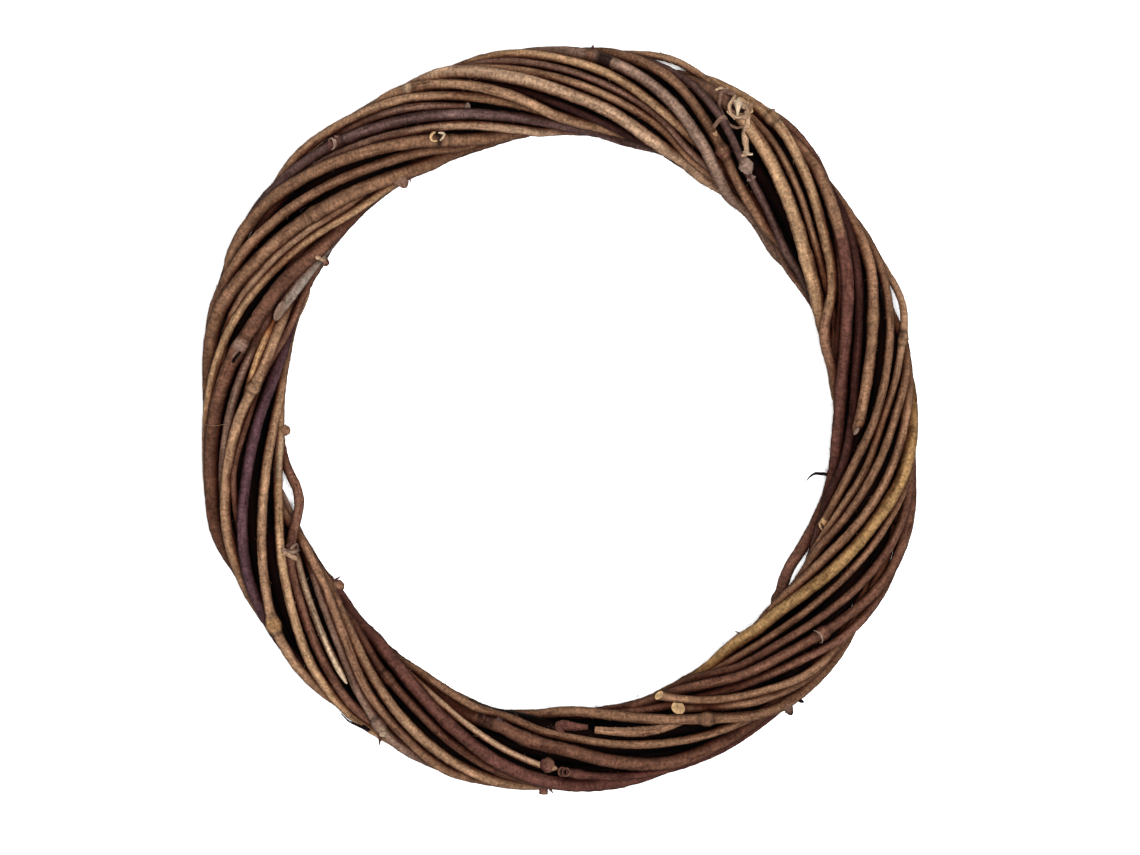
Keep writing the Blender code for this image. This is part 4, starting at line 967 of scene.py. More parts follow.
def openSky(tube, tree):  # share of open sky for each place of a tube
    every, reach = paintedShade["every"], paintedShade["reach"]
    rows = tube["rings"][::every, :-1:2]
    normals = unit(rows - rows.mean(axis=1, keepdims=True))
    starts = (rows + normals * paintedShade["start"]).reshape(-1, 3)
    ways = normals.reshape(-1, 1, 3) + evenBall(paintedShade["rays"])[None] * paintedShade["spread"]
    seen = []
    for spot, fan in zip(starts.tolist(), ways.tolist()):
        total = 0.0
        for way in fan:
            far = tree.ray_cast(spot, way, reach)[3]
            total += 1.0 if far is None else far / reach
        seen.append(total / len(fan))
    seen = np.array(seen).reshape(rows.shape[:2])
    blur = paintedShade["blur"]
    seen = (np.roll(seen, 1, axis=1) + np.roll(seen, -1, axis=1)) * blur + seen * (1.0 - 2.0 * blur)
    whole = np.zeros((len(rows), tube["rings"].shape[1]))
    whole[:, :-1:2] = seen
    whole[:, 1::2] = (seen + np.roll(seen, -1, axis=1)) / 2.0
    whole[:, -1] = whole[:, 0]
    # Sideways-facing places are made darker here: painted shade on the flanks of each vine.
    upright = np.abs(np.sin(roundAngles(whole.shape[1] - 1)))
    whole *= paintedShade["side"] + (1.0 - paintedShade["side"]) * upright
    at = np.arange(tube["rings"].shape[0])
    return np.stack([np.interp(at, np.arange(len(rows)) * every, column) for column in whole.T], axis=-1)


def easeInside(spots):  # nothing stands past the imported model's box
    ease = stem["boxEase"]
    for axis in range(3):
        low, high = cadBox[0][axis] + ease, cadBox[1][axis] - ease
        column = spots[:, axis]
        column = np.where(column > high, high + ease * np.tanh((column - high) / ease), column)
        if axis < 2:
            column = np.where(column < low, low - ease * np.tanh((low - column) / ease), column)
        spots[:, axis] = column
    spots[:, 2] = np.maximum(spots[:, 2], stem["lowest"])


def putOut(name, data):  # a new object in the scene
    thing = bpy.data.objects.new(name, data)
    bpy.context.scene.collection.objects.link(thing)
    return thing


def gathered(tubes, key, size):  # one table of every tube's values
    return np.concatenate([tube[key].reshape(-1, size) for tube in tubes])


def meshFromTubes(name, tubes):  # every tube of one piece as one closed, welded mesh
    mesh = bmesh.new()
    mesh.loops.layers.uv.new("bark")
    for tube in tubes:
        count, around = tube["rings"].shape[:2]
        bmesh.ops.create_grid(mesh, x_segments=around - 1, y_segments=count - 1, size=1.0, calc_uvs=True)
    data = bpy.data.meshes.new(name)
    mesh.to_mesh(data)
    mesh.free()
    spots = gathered(tubes, "rings", 3)
    easeInside(spots)
    data.vertices.foreach_set("co", spots.astype(np.float32).ravel())
    tone = gathered(tubes, "tone", 3)
    tone = np.concatenate((tone, np.ones((len(tone), 1))), axis=1).astype(np.float32)
    data.attributes.new("tone", "FLOAT_COLOR", "POINT").data.foreach_set("color", tone.ravel())
    for key in ("ends", "open"):
        values = gathered(tubes, key, 1).astype(np.float32).ravel()
        data.attributes.new(key, "FLOAT", "POINT").data.foreach_set("value", values)
    data.attributes.new("cut", "FLOAT", "POINT")
    layMaps(data, tubes)
    weld(data)
    return putOut(name, data)


def runAlong(points):  # length run through at each of a row of points
    return np.concatenate(([0.0], np.cumsum(np.linalg.norm(np.diff(points, axis=0), axis=1))))


def layMaps(data, tubes):  # the map runs round the stem in turns and along it in metres
    flat = np.zeros(len(data.loops) * 2, np.float32)
    layer = data.uv_layers["bark"].data
    layer.foreach_get("uv", flat)
    flat = flat.reshape(-1, 2)
    start = 0
    for tube in tubes:
        count, around = tube["rings"].shape[:2]
        end = start + (count - 1) * (around - 1) * 4
        share = flat[start:end, 1] * (count - 1)
        flat[start:end, 1] = np.interp(share, np.arange(count), runAlong(tube["rings"].mean(axis=1)))
        start = end
    layer.foreach_set("uv", flat.ravel())


def weld(data):  # close the seam and the ends, with a rim of bark round cut wood
    mesh = bmesh.new()
    mesh.from_mesh(data)
    bmesh.ops.remove_doubles(mesh, verts=mesh.verts[:], dist=stem["weld"])
    rims = [edge for edge in mesh.edges if edge.is_boundary]
    ends = mesh.verts.layers.float["ends"]
    for cap in bmesh.ops.holes_fill(mesh, edges=rims, sides=0)["faces"]:
        code = max(vert[ends] for vert in cap.verts)
        if code > 0.5:
            carveEnd(mesh, cap, linear(faceTones[int(code) // 10]), int(code) % 10 == 2)
    bmesh.ops.recalc_face_normals(mesh, faces=mesh.faces[:])
    for face in mesh.faces:
        face.smooth = True
    mesh.to_mesh(data)
    mesh.free()


def carveEnd(mesh, cap, woodTone, hollow):  # rim, wood and pith of a cut end
    cut = mesh.verts.layers.float["cut"]
    tone = mesh.verts.layers.float_color["tone"]
    lit = mesh.verts.layers.float["open"]
    width = math.sqrt(cap.calc_area() / math.pi)
    rim, depth = cutting["rim"]
    bmesh.ops.inset_region(mesh, faces=[cap], thickness=width * rim, depth=-width * depth)
    for vert in cap.verts:
        vert[cut] = 1.0
        vert[tone] = (*woodTone, 1.0)
        vert[lit] = 1.0
    if not hollow and woodTone[0] < linear("paleScar")[0]:
        return
    # A hollow end is darkened inside its rim, painted shade in the recess; a pale end gets a pith instead.
    inner, depth, toneLeft = cutting["hollow"] if hollow else cutting["pith"]
    bmesh.ops.inset_region(mesh, faces=[cap], thickness=width * inner, depth=-width * depth)
    for vert in cap.verts:
        vert[tone] = (*(woodTone * toneLeft), 1.0)


# How the widths of a growth run from root to tip, as shares, then its tip: 0 whole, 1 cut, 2 hollow.
growthShapes = {
    "thorn": (((0.0, 1.5), (0.2, 1.0), (0.6, 0.5), (1.0, 0.12)), 0),
    "bud": (((0.0, 0.75), (0.35, 1.0), (0.65, 0.92), (0.88, 0.55), (1.0, 0.12)), 0),
    "stub": (((0.0, 1.3), (0.3, 0.85), (0.75, 0.85), (0.93, 1.1), (1.0, 1.0)), 1),
    "cup": (((0.0, 1.1), (0.35, 0.9), (0.8, 1.05), (0.94, 1.2), (1.0, 1.1)), 2),
}
# Growths: pass, clock, shape, length and width in steps, the way it points (outwards, upwards,
# along the vine), its tone and the tone of its tip.
growths = (
    ("p04", 5.0, "thorn", 13, 6, (1.0, 0.6, 0.1), "umber", "soot"),
    ("p04", 4.2, "bud", 7, 5, (0.3, 1.0, -0.2), "redBrown", "redBrown"),
    ("p08", 15.0, "thorn", 7, 3, (1.0, 0.0, 0.5), "umber", "umber"),
    ("p08", 26.6, "bud", 8, 6, (0.2, 1.0, -0.5), "paleScar", "tan"),
    # This cup's hollow tip is near-black: painted shadow inside the cluster of loops.
    ("p08", 29.2, "cup", 9, 12, (0.3, 1.0, 0.1), "ochre", "soot"),
    ("p08", 30.2, "bud", 15, 13, (-0.9, 1.0, 0.3), "straw", "wood"),
    # A near-black bud among the loops: painted shadow inside the cluster.
    ("p08", 27.4, "bud", 7, 8, (0.7, 1.0, -0.4), "night", "night"),
    ("p08", 25.9, "bud", 8, 7, (0.6, 1.0, 0.2), "golden", "paleTan"),
    ("p08", 31.0, "stub", 9, 5, (0.8, 1.0, 0.9), "golden", "wood"),
    ("p05", 30.4, "stub", 15, 5, (0.1, 0.5, -1.6), "golden", "wood"),
    ("p05", 31.6, "bud", 8, 9, (0.4, 1.0, 0.4), "warmBrown", "umber"),
    ("p09", 35.3, "stub", 9, 5, (1.0, 0.6, -0.9), "greyBrown", "paleScar"),
    ("p09", 35.9, "thorn", 8, 4, (0.5, 0.9, 0.5), "tan", "paleScar"),
    ("p06", 37.3, "stub", 8, 4, (0.5, 0.5, 1.2), "ashBrown", "drab"),
    ("p06", 37.2, "stub", 8, 4, (-0.5, 0.5, 1.2), "ashBrown", "ashBrown"),
    ("p06", 37.2, "thorn", 9, 5, (0.0, 0.9, 1.0), "umber", "umber"),
    ("p10", 44.5, "thorn", 7, 2.5, (1.0, 0.1, -0.4), "umber", "umber"),
    ("p15", 76.6, "bud", 6, 4, (1.0, 0.3, 0.2), "umber", "umber"),
    ("p21", 128.6, "cup", 7, 13, (0.1, 0.35, 1.2), "ashBrown", "umber"),
    ("p18", 139.5, "thorn", 8, 3, (-1.0, 0.2, 0.3), "umber", "umber"),
    ("p25", 141.3, "bud", 13, 9, (1.0, 0.5, 0.2), "greyBrown", "night"),
    ("p25", 139.6, "bud", 9, 4, (1.0, 0.4, -0.6), "night", "night"),
    ("p25", 153.4, "bud", 8, 8, (0.2, 1.0, 0.3), "tan", "brown"),
    ("p31", 182.6, "bud", 14, 9, (1.0, 0.3, -0.2), "umber", "greyBrown"),
    ("p31", 181.9, "thorn", 11, 4, (1.0, 0.3, -0.7), "umber", "umber"),
    ("p28", 182.8, "bud", 13, 16, (-0.5, 0.6, -0.9), "umber", "brown"),
    ("p28", 182.4, "bud", 14, 7, (-0.3, 0.8, -1.2), "warmBrown", "honey"),
    ("q03", 178.4, "cup", 6, 8, (0.0, 1.0, 0.6), "brown", "umber"),
    ("q03", 177.3, "bud", 6, 6, (0.2, 1.0, 0.2), "warmBrown", "umber"),
    ("q03", 176.4, "thorn", 8, 7, (-0.2, 1.0, 0.4), "umber", "umber"),
    ("p27", 194.4, "bud", 7.5, 7, (-0.3, 1.0, 0.2), "umber", "night"),
    ("p27", 193.0, "thorn", 9, 6, (0.2, 1.0, 0.5), "umber", "night"),
    ("p27", 191.4, "thorn", 9, 6, (-0.4, 1.0, -0.6), "greyPlum", "night"),
    ("p33", 209.9, "stub", 7, 7, (0.5, 0.9, -0.5), "greyBrown", "paleScar"),
    ("p33", 210.0, "thorn", 17, 6.5, (1.0, 0.3, -0.5), "umber", "soot"),
    ("p29", 232.8, "bud", 10, 13, (-1.0, 0.1, 0.5), "warmBrown", "umber"),
    ("p29", 234.4, "thorn", 12, 4, (-1.0, 0.1, 0.1), "umber", "night"),
    ("p44", 326.6, "bud", 14, 12, (-1.0, 0.1, 0.1), "greyBrown", "greyBrown"),
    ("p44", 325.4, "thorn", 13, 8, (-1.0, 0.1, 0.3), "greyBrown", "greyBrown"),
    # This cup's hollow tip is near-black: painted shadow inside it.
    ("q00", 243.6, "cup", 6, 7, (0.0, 0.8, 1.0), "greyBrown", "soot"),
    ("p34", 244.5, "thorn", 10, 6, (-0.5, 0.9, -0.5), "umber", "umber"),
    ("p35", 267.6, "bud", 9.5, 11, (-1.0, 0.1, 0.5), "hazel", "hazel"),
    ("p39", 276.5, "bud", 8, 6, (-0.4, 1.0, 0.4), "golden", "tan"),
    ("q02", 304.2, "bud", 12, 9, (-0.9, 0.6, 0.0), "brown", "umber"),
    ("p48", 321.8, "cup", 9, 11, (0.3, 0.9, -1.0), "ashBrown", "brown"),
    ("p48", 322.6, "thorn", 10, 9, (0.9, 0.7, -0.7), "greyPlum", "greyBrown"),
    ("p44", 329.0, "thorn", 10, 4, (-1.0, 0.1, -0.4), "umber", "umber"),
    ("p51", 335.5, "bud", 7, 5, (0.1, 1.0, -0.3), "paleScar", "tan"),
)
# How growths are built. The root sits inside the vine, at a share of its radius.
growthLook = {"sides": 10, "rings": 10, "root": 0.3, "rough": 0.10, "waves": (4.0, 2.0), "sway": 0.0002}

# Dry tendrils: pass, clock of the root, widths in steps at root, middle and tip, tone, then
# (clock, across, steps above what it lies on) along it.
tendrils = (
    ("p11", 101.3, (3.6, 3.2, 0.8), "soot", ((101.3, -46, 0), (101.4, -49, 1), (101.6, -54.5, 2),
        (102.4, -58.7, 2), (103.7, -61.6, 0))),
    ("p35", 216.5, (2.2, 3.6, 0.9), "soot", ((211.8, 37.8, 2), (212.7, 38.5, 3), (213.8, 40.0, 4),
        (214.9, 41.2, 4), (216.7, 40.0, 3))),
    ("p09", 30.5, (5.6, 5.0, 3.6), "paleTan", ((32.3, 27, 3), (31.6, 33, 6), (31.0, 38, 9),
        (30.1, 42.0, 10), (29.1, 42.4, 10), (28.4, 38, 9), (28.4, 31, 8), (29.2, 25, 6),
        (30.3, 23, 4))),
    ("p09", 31.4, (5.0, 4.4, 3.0), "golden", ((31.3, 37, 8), (30.6, 41.5, 12), (29.8, 43.8, 13),
        (29.0, 41.6, 13), (29.5, 38.4, 11), (30.3, 37.6, 8))),
    ("p08", 27.9, (5.0, 4.2, 3.0), "greyBrown", ((28.3, 43.6, 5), (27.2, 43.0, 6), (26.3, 38.1, 5),
        (26.7, 30.0, 5), (27.6, 23.5, 4), (28.8, 19.1, 3))),
    ("p08", 28.6, (5.6, 5.0, 3.6), "straw", ((29.6, 41.0, 6), (30.8, 36.0, 8), (31.4, 29.0, 9),
        (30.2, 24.4, 8), (28.6, 25.4, 7))),
    # A near-black tendril inside the loops: painted shadow of the cluster's hollow.
    ("p08", 31.4, (3.6, 4.0, 2.6), "night", ((30.8, 34.0, 3), (29.6, 31.0, 4), (28.6, 33.0, 4),
        (28.0, 37.0, 4))),
    ("p08", 29.4, (6.0, 10.5, 2.0), "paleScar", ((29.5, 36.5, 8), (29.9, 31.5, 11),
        (30.3, 26.5, 8))),
    ("q02", 304.2, (4.0, 4.6, 3.6), "paleTan", ((304.1, -30.0, 1), (304.3, -34.0, 2),
        (304.6, -38.5, 1))),
    ("p09", 27.0, (4.0, 3.6, 2.4), "straw", ((26.6, 44.0, 4), (25.6, 41.0, 5), (25.3, 38.4, 4))),
    ("p46", 336.0, (1.6, 3.0, 1.6), "wood", ((336.7, -15.0, 1), (335.7, -17.5, 2),
        (335.6, -20.0, 2), (336.5, -23.5, 1))),
    ("p46", 337.2, (1.6, 3.0, 1.6), "paleScar", ((337.4, -17.0, 1), (338.2, -20.0, 2),
        (337.8, -22.5, 2), (337.0, -24.5, 1))),
    ("p05", 27.6, (4.6, 4.0, 2.4), "greyBrown", ((28.4, 17.8, 1), (30.0, 15.1, 1), (31.2, 16.3, 1),
        (32.1, 21.5, 1))),
    ("p07", 33.4, (5.0, 7.4, 4.0), "paleTan", ((32.6, 23.8, 1), (33.0, 15.3, 1), (33.9, 8.7, 2),
        (35.0, 0.8, 2), (34.6, -4.4, 1))),
    ("p06", 35.3, (9.0, 17.0, 6.0), "ashBrown", ((35.8, -8.0, 1), (36.6, -10.5, 3),
        (37.6, -13.2, 1))),
    ("p05", 31.2, (1.0, 1.8, 0.8), "umber", ((31.9, -13.0, 0.4), (31.3, -16.0, 0.6),
        (30.6, -18.5, 0.4))),
    ("p05", 31.0, (1.0, 1.6, 0.8), "umber", ((30.2, -15.5, 0.4), (31.0, -17.2, 0.5),
        (31.8, -17.8, 0.4))),
    ("p06", 34.4, (4.4, 3.8, 2.4), "paleScar", ((34.8, 1.2, 3), (35.4, 1.8, 3), (36.0, 4.2, 3))),
    ("q00", 243.0, (5.0, 4.6, 2.6), "drab", ((244.8, -15.2, 2), (244.1, -18.0, 3),
        (243.8, -22.6, 3), (244.2, -27.6, 3), (244.8, -25.9, 4), (244.5, -21.7, 4))),
    ("q00", 242.6, (4.6, 5.0, 4.0), "paleTan", ((242.8, -21.0, 2), (243.6, -18.0, 3),
        (244.4, -14.6, 3))),
    ("p34", 244.6, (3.0, 3.4, 1.6), "umber", ((245.3, -20, 2), (245.6, -26, 2), (246.5, -30, 2),
        (247.5, -32, 1))),
    ("p41", 269.4, (0.6, 0.5, 0.4), "honey", ((269.4, 40, 1), (269.3, 33, 1), (269.2, 26, 1),
        (269.4, 18, 1), (269.2, 11, 1))),
    ("p25", 157.0, (7.0, 11.0, 7.0), "warmBrown", ((160.5, -4.5, -1), (163.0, -6.0, 0),
        (166.0, -9.5, 1), (170.0, -15.0, 2), (173.4, -19.5, 2))),
    ("p26", 179.6, (8.0, 10.5, 5.0), "umber", ((180.0, -25, 0), (177.0, -24, 1),
        (174.6, -22.5, 1))),
    ("p41", 281.4, (1.6, 3.6, 2.6), "soot", ((280.3, 13.6, -1), (281.0, 12.0, 0.3),
        (281.6, 10.0, 0.4), (282.3, 8.0, -0.3))),
    ("p41", 281.9, (0.6, 1.8, 1.0), "ashBrown", ((281.0, 14.6, -1), (281.7, 13.0, 0.3),
        (282.4, 10.8, 0.3), (283.0, 8.6, -0.5))),
    ("p44", 309.8, (0.8, 2.0, 1.0), "night", ((309.2, 11.0, -0.6), (309.7, 10.0, 0.4),
        (310.3, 8.2, 0.2))),
    ("p10", 44.0, (1.0, 0.8, 0.4), "greyPlum", ((44.5, 47.5, 2), (44.7, 49.5, 2), (45.4, 50.0, 1))),
)
# How tendrils are built, in metres: each place is dropped from above onto the vine below it. Where
# that lies too low or is missing it keeps its root's height, and elsewhere it sags only so far.
tendrilLook = {"sides": 8, "rings": 8, "spacing": 0.0003, "rough": 0.08, "above": 0.1, "lowRoot": 0.012,
               "sag": 0.0016}

# Scars, lichen, dark bands and painted shadow: pass, clock, half its length in degrees, the side it faces
# (0 up, 90 outwards), tone, strength.
marks = (
    # The duskBrown bands on p07 at 25.2 and on p08 at 28.6 are painted shadow under the cluster of loops.
    ("p04", 7.4, 1.0, -10.0, "night", 0.93), ("p07", 25.2, 6.0, 0.0, "duskBrown", 0.80),
    ("p46", 336.6, 0.40, 20.0, "soot", 0.85), ("p05", 31.7, 0.30, 0.0, "umber", 0.85),
    ("p08", 28.6, 1.6, 60.0, "duskBrown", 0.8), ("p41", 283.6, 0.8, -20.0, "ashBrown", 0.5),
    ("p09", 19.0, 4.0, 0.0, "umber", 0.8), ("p36", 234.6, 1.0, 0.0, "ochre", 0.7),
    ("p35", 262.5, 4.0, -35.0, "paleScar", 0.5), ("p04", 5.2, 0.5, 0.0, "redBrown", 0.8),
    ("p00", 6.5, 1.2, -20.0, "lichen", 0.6), ("p15", 76.0, 0.8, -70.0, "night", 0.7),
    ("p14", 111.0, 0.9, 0.0, "wood", 0.9), ("p27", 193.5, 1.5, -30.0, "night", 0.6),
    ("p33", 209.8, 0.5, 20.0, "paleScar", 0.35), ("p36", 234.3, 0.8, 20.0, "ochre", 0.6),
    ("q02", 304.4, 0.3, -30.0, "paleScar", 0.6), ("p48", 321.0, 1.2, 0.0, "umber", 0.6),
    ("p51", 335.5, 0.5, 0.0, "paleScar", 0.5), ("p11", 48.0, 8.0, 0.0, "tan", 0.9),
    ("p09", 76.0, 8.0, 0.0, "brown", 0.85), ("p47", 347.0, 12.0, 0.0, "paleTan", 0.75),
)
# How sharply a mark ends along its vine, and how far it wraps round it.
brush = {"edge": 3.0, "reach": 1.2, "wrap": 0.4, "turn": 1.4}


def passHome(name):  # the vine a pass belongs to, and the turns added to its readings there
    vine = next(vine for vine in vines if name in vines[vine][0])
    names, shifts = passesOf(vine)
    return vine, shifts[names.index(name)]


def spineAt(name, clock):  # place and run of a vine's middle line, and its radius
    path = paths[name]
    at = np.array([clock, clock + stem["ahead"]])
    points = stand(at, *(smoothAlong(path["clock"], path[key], at) for key in ("across", "height")))
    return points[0], unit(points[1] - points[0]), float(np.interp(clock, path["clock"], path["radius"]))


def roundTube(points, radius, look, tone, code, rng):  # a free round twig
    sides, rough = look["sides"], look["rough"]
    bumps = closed(1.0 + rough * rng.uniform(-1.0, 1.0, (len(points), sides)))
    angles = np.linspace(0.0, 2.0 * math.pi, sides + 1)
    rings = ringGrid(points, carriedFrames(points), radius[:, None] * bumps, angles)
    ends = np.zeros(rings.shape[:2])
    ends[-1] = code
    return {"rings": rings, "tone": np.broadcast_to(tone, rings.shape).copy(), "ends": ends,
            "open": np.ones(rings.shape[:2])}


def growthTube(entry, rng):
    passName, clock, shape, length, width, way, toneName, tipName = entry
    widths, cutKind = growthShapes[shape]
    vine, shift = passHome(passName)
    root, along, hold = spineAt(vine, clock + shift)
    outward = unit(root * (1.0, 1.0, 0.0) - axisSpot)
    aim = unit(outward * way[0] + np.array([0.0, 0.0, way[1]]) + along * way[2])
    share = np.linspace(0.0, 1.0, growthLook["rings"])
    points = root + aim * (hold * growthLook["root"] + share * length * step)[:, None]
    waves, wave = growthLook["waves"]
    points += drift(share * waves, wave, rng)[:, None] * np.cross(aim, along) * growthLook["sway"]
    size = smoothAlong(*np.array(widths).T, share) * width * step / 2.0
    code = faceTones.index(tipName) * 10 + cutKind if cutKind else 0
    tube = roundTube(points, size, growthLook, linear(toneName), code, rng)
    if not cutKind:
        tube["tone"] += (share ** 2)[:, None, None] * (linear(tipName) - tube["tone"])
    return vine, tube


def restOn(spot, lift, tree, root):  # height of a place of a tendril over the vine below it
    height = tree.ray_cast((spot[0], spot[1], tendrilLook["above"]), (0.0, 0.0, -1.0))[0]
    low = height is None or height.z < tendrilLook["lowRoot"]
    return (root if low else max(height.z, root - tendrilLook["sag"])) + lift * step


def tendrilTube(entry, tree, rng):
    passName, clock, widths, toneName, readings = entry
    vine, shift = passHome(passName)
    knots = [spineAt(vine, clock + shift)[0]]
    for clockThere, across, lift in readings:
        spot = stand(clockThere, across * step, 0.0)
        spot[2] = restOn(spot, lift, tree, knots[0][2])
        knots.append(spot)
    knots = np.array(knots)
    run = runAlong(knots)
    at = np.linspace(0.0, run[-1], max(tendrilLook["rings"], int(run[-1] / tendrilLook["spacing"])))
    points = np.stack([smoothAlong(run, knots[:, k], at) for k in range(3)], axis=-1)
    radius = step / 2.0 * np.interp(at / run[-1], (0.0, 0.5, 1.0), widths)
    return vine, roundTube(points, radius, tendrilLook, linear(toneName), 0, rng)


# Slivers of bark that peel off a vine, in metres or as shares of the vine's radius or their length.
fibres = {
    "every": 1.3,  # clock degrees, as the next two
    "stray": 1.5,
    "clear": 3.0,
    "rings": 5,
    "sides": 3,
    "rough": 0.0,
    "length": (0.0006, 0.0024),
    "width": (0.00005, 0.00011),
    "lift": (0.10, 0.55),
    "curl": 1.6,
    "sway": 0.5,
    "thin": 0.8,
    "reach": 0.92,
    "ahead": 0.001,
    "tone": (0.7, 1.3),
}


def fibreTubes(name, path, rng):
    tubes = []
    first, last = path["clock"][0] + fibres["clear"], path["clock"][-1] - fibres["clear"]
    share = np.linspace(0.0, 1.0, fibres["rings"])
    for clock in np.arange(first, last, fibres["every"]):
        clock += rng.uniform(-fibres["stray"], fibres["stray"])
        spot, along, hold = spineAt(name, clock)
        side = rng.uniform(0.0, 2.0 * math.pi)
        ahead = spot + along * fibres["ahead"]
        outward, upward = (way[0] for way in sectionFrames(np.array([spot, ahead])))
        away = outward * math.cos(side) + upward * math.sin(side)
        sign = 1.0 if rng.uniform() < 0.5 else -1.0
        length = rng.uniform(*fibres["length"])
        lift = rng.uniform(*fibres["lift"])
        sway = np.cross(along, away) * rng.uniform(-fibres["sway"], fibres["sway"])
        points = (spot + away * hold * fibres["reach"]
                  + (along * sign + sway)[None, :] * (share * length)[:, None]
                  + away[None, :] * (lift * length * share ** fibres["curl"])[:, None])
        radius = rng.uniform(*fibres["width"]) * (1.0 - fibres["thin"] * share)
        tone = vineTones(name, np.array([clock]))[0] * rng.uniform(*fibres["tone"])
        tubes.append(roundTube(points, radius, fibres, tone, 0, rng))
    return tubes


# Where the random draws of each kind start.
seeds = {"vines": 100, "growths": 700, "tendrils": 800, "fibres": 300}


def draws(kind, count):
    return np.random.default_rng(seeds[kind] + count)


def buildVines():
    tubes = {name: [vineTube(name, path, draws("vines", count))]
             for count, (name, path) in enumerate(paths.items())}
    tree = coarseTree([found[0] for found in tubes.values()])
    for found in tubes.values():
        found[0]["open"] = openSky(found[0], tree)
    print("stage: crevices are found")
    for count, entry in enumerate(growths):
        vine, tube = growthTube(entry, draws("growths", count))
        tubes[vine].append(tube)
    for count, entry in enumerate(tendrils):
        vine, tube = tendrilTube(entry, tree, draws("tendrils", count))
        tubes[vine].append(tube)
    for count, name in enumerate(vines):
        tubes[name] += fibreTubes(name, paths[name], draws("fibres", count))
    return {name: meshFromTubes(name + "_stem", found) for name, found in tubes.items()}


pieces = buildVines()
print("stage: the vines are modelled,", sum(len(p.data.polygons) for p in pieces.values()), "faces")


class Wire:  # a socket of a material that adds Math nodes when it is reckoned with
    def __init__(self, tree, socket):
        self.tree, self.socket = tree, socket

    def reckon(self, operation, first, second):
        return addNode(self.tree, "ShaderNodeMath", {"operation": operation}, {0: first, 1: second})

    def __add__(self, other):
        return self.reckon("ADD", self, other)

    def __radd__(self, other):
        return self.reckon("ADD", other, self)

    def __sub__(self, other):
        return self.reckon("SUBTRACT", self, other)

    def __rsub__(self, other):
        return self.reckon("SUBTRACT", other, self)

    def __mul__(self, other):
        return self.reckon("MULTIPLY", self, other)

    def __rmul__(self, other):
        return self.reckon("MULTIPLY", other, self)


def addNode(tree, kind, settings, values, out=0):  # settings first, then the sockets
    node = tree.nodes.new(kind)
    for key, value in settings.items():
        if key == "stops":
            fillRamp(node.color_ramp, value)
        else:
            setattr(node, key, value)
    for key, value in values.items():
        if isinstance(value, Wire):
            tree.links.new(value.socket, node.inputs[key])
        else:
            node.inputs[key].default_value = value
    return Wire(tree, node.outputs[out])


def fillRamp(ramp, stops):
    while len(ramp.elements) < len(stops):
        ramp.elements.new(0.5)
    for element, (position, value) in zip(ramp.elements, stops):
        element.position = position
        element.color = (*value, 1.0) if isinstance(value, tuple) else (value, value, value, 1.0)


def mixColours(tree, blend, share, first, second):
    return addNode(tree, "ShaderNodeMix", {"data_type": "RGBA", "blend_type": blend},
                   {"Factor": share, 6: first, 7: second}, 2)


# Layers of the bark, each with its features in each metre, its share of stretch along the stem, its
# place in the noise, detail and roughness, and the (place, gain) stops of its ramp.
layers = {
    "streaks": (950.0, 0.16, 0.0, 5.0, 0.65, ((0.27, 0.66), (0.50, 1.0), (0.70, 1.42))),
    "speckle": (1150.0, 1.1, 3.1, 3.0, 0.7, ((0.32, 0.56), (0.50, 1.0), (0.68, 1.46))),
    "blotch": (170.0, 0.40, 7.7, 4.0, 0.6, ((0.30, 0.76), (0.50, 1.0), (0.70, 1.22))),
    "ribs": (420.0, 1.7, 5.3, 2.0, 0.6, ((0.34, 0.84), (0.50, 1.0), (0.66, 1.14))),
}
bark = {
    "cracks": (520.0, 0.16, 1.3, 6.0, 0.7),
    "crackStops": ((0.34, 1.0), (0.46, 0.0)),
    "crackTone": (0.34, 0.22, 0.20, 1.0),
    "crackShare": 0.7,
    "woodGrain": (2600.0, 1.0, 0.0, 4.0, 0.6),
    "woodGain": ((0.34, 0.55), (0.64, 1.15)),
    # Painted shade and highlight: the open-sky share turns the base colour near-black and reddish in
    # crevices and on flanks, and brighter than the tone on open tops.
    "paintedShadeGain": ((0.18, (0.012, 0.002, 0.002)), (0.34, (0.11, 0.036, 0.028)), (0.54, (0.38, 0.24, 0.20)),
                    (0.74, (0.86, 0.79, 0.75)), (0.95, (1.60, 1.61, 1.60))),
    "gain": (0.444, 0.470, 0.502, 1.0),
    "heights": {"streaks": 0.5, "speckle": 0.8, "ribs": 0.6},
    "crackHeight": 0.5,
    "bump": 0.9,
    "bumpDepth": 0.00030,  # metres
    "rough": (0.75, 0.95),
    "roughStops": ((0.5, 0.0), (0.9, 1.0)),
    "roughSpeckle": 0.4,
    "shine": 0.02,
    "stemRadius": 0.0016,  # metres
    "apart": 0.37,  # from one vine's place in the noise to the next
}


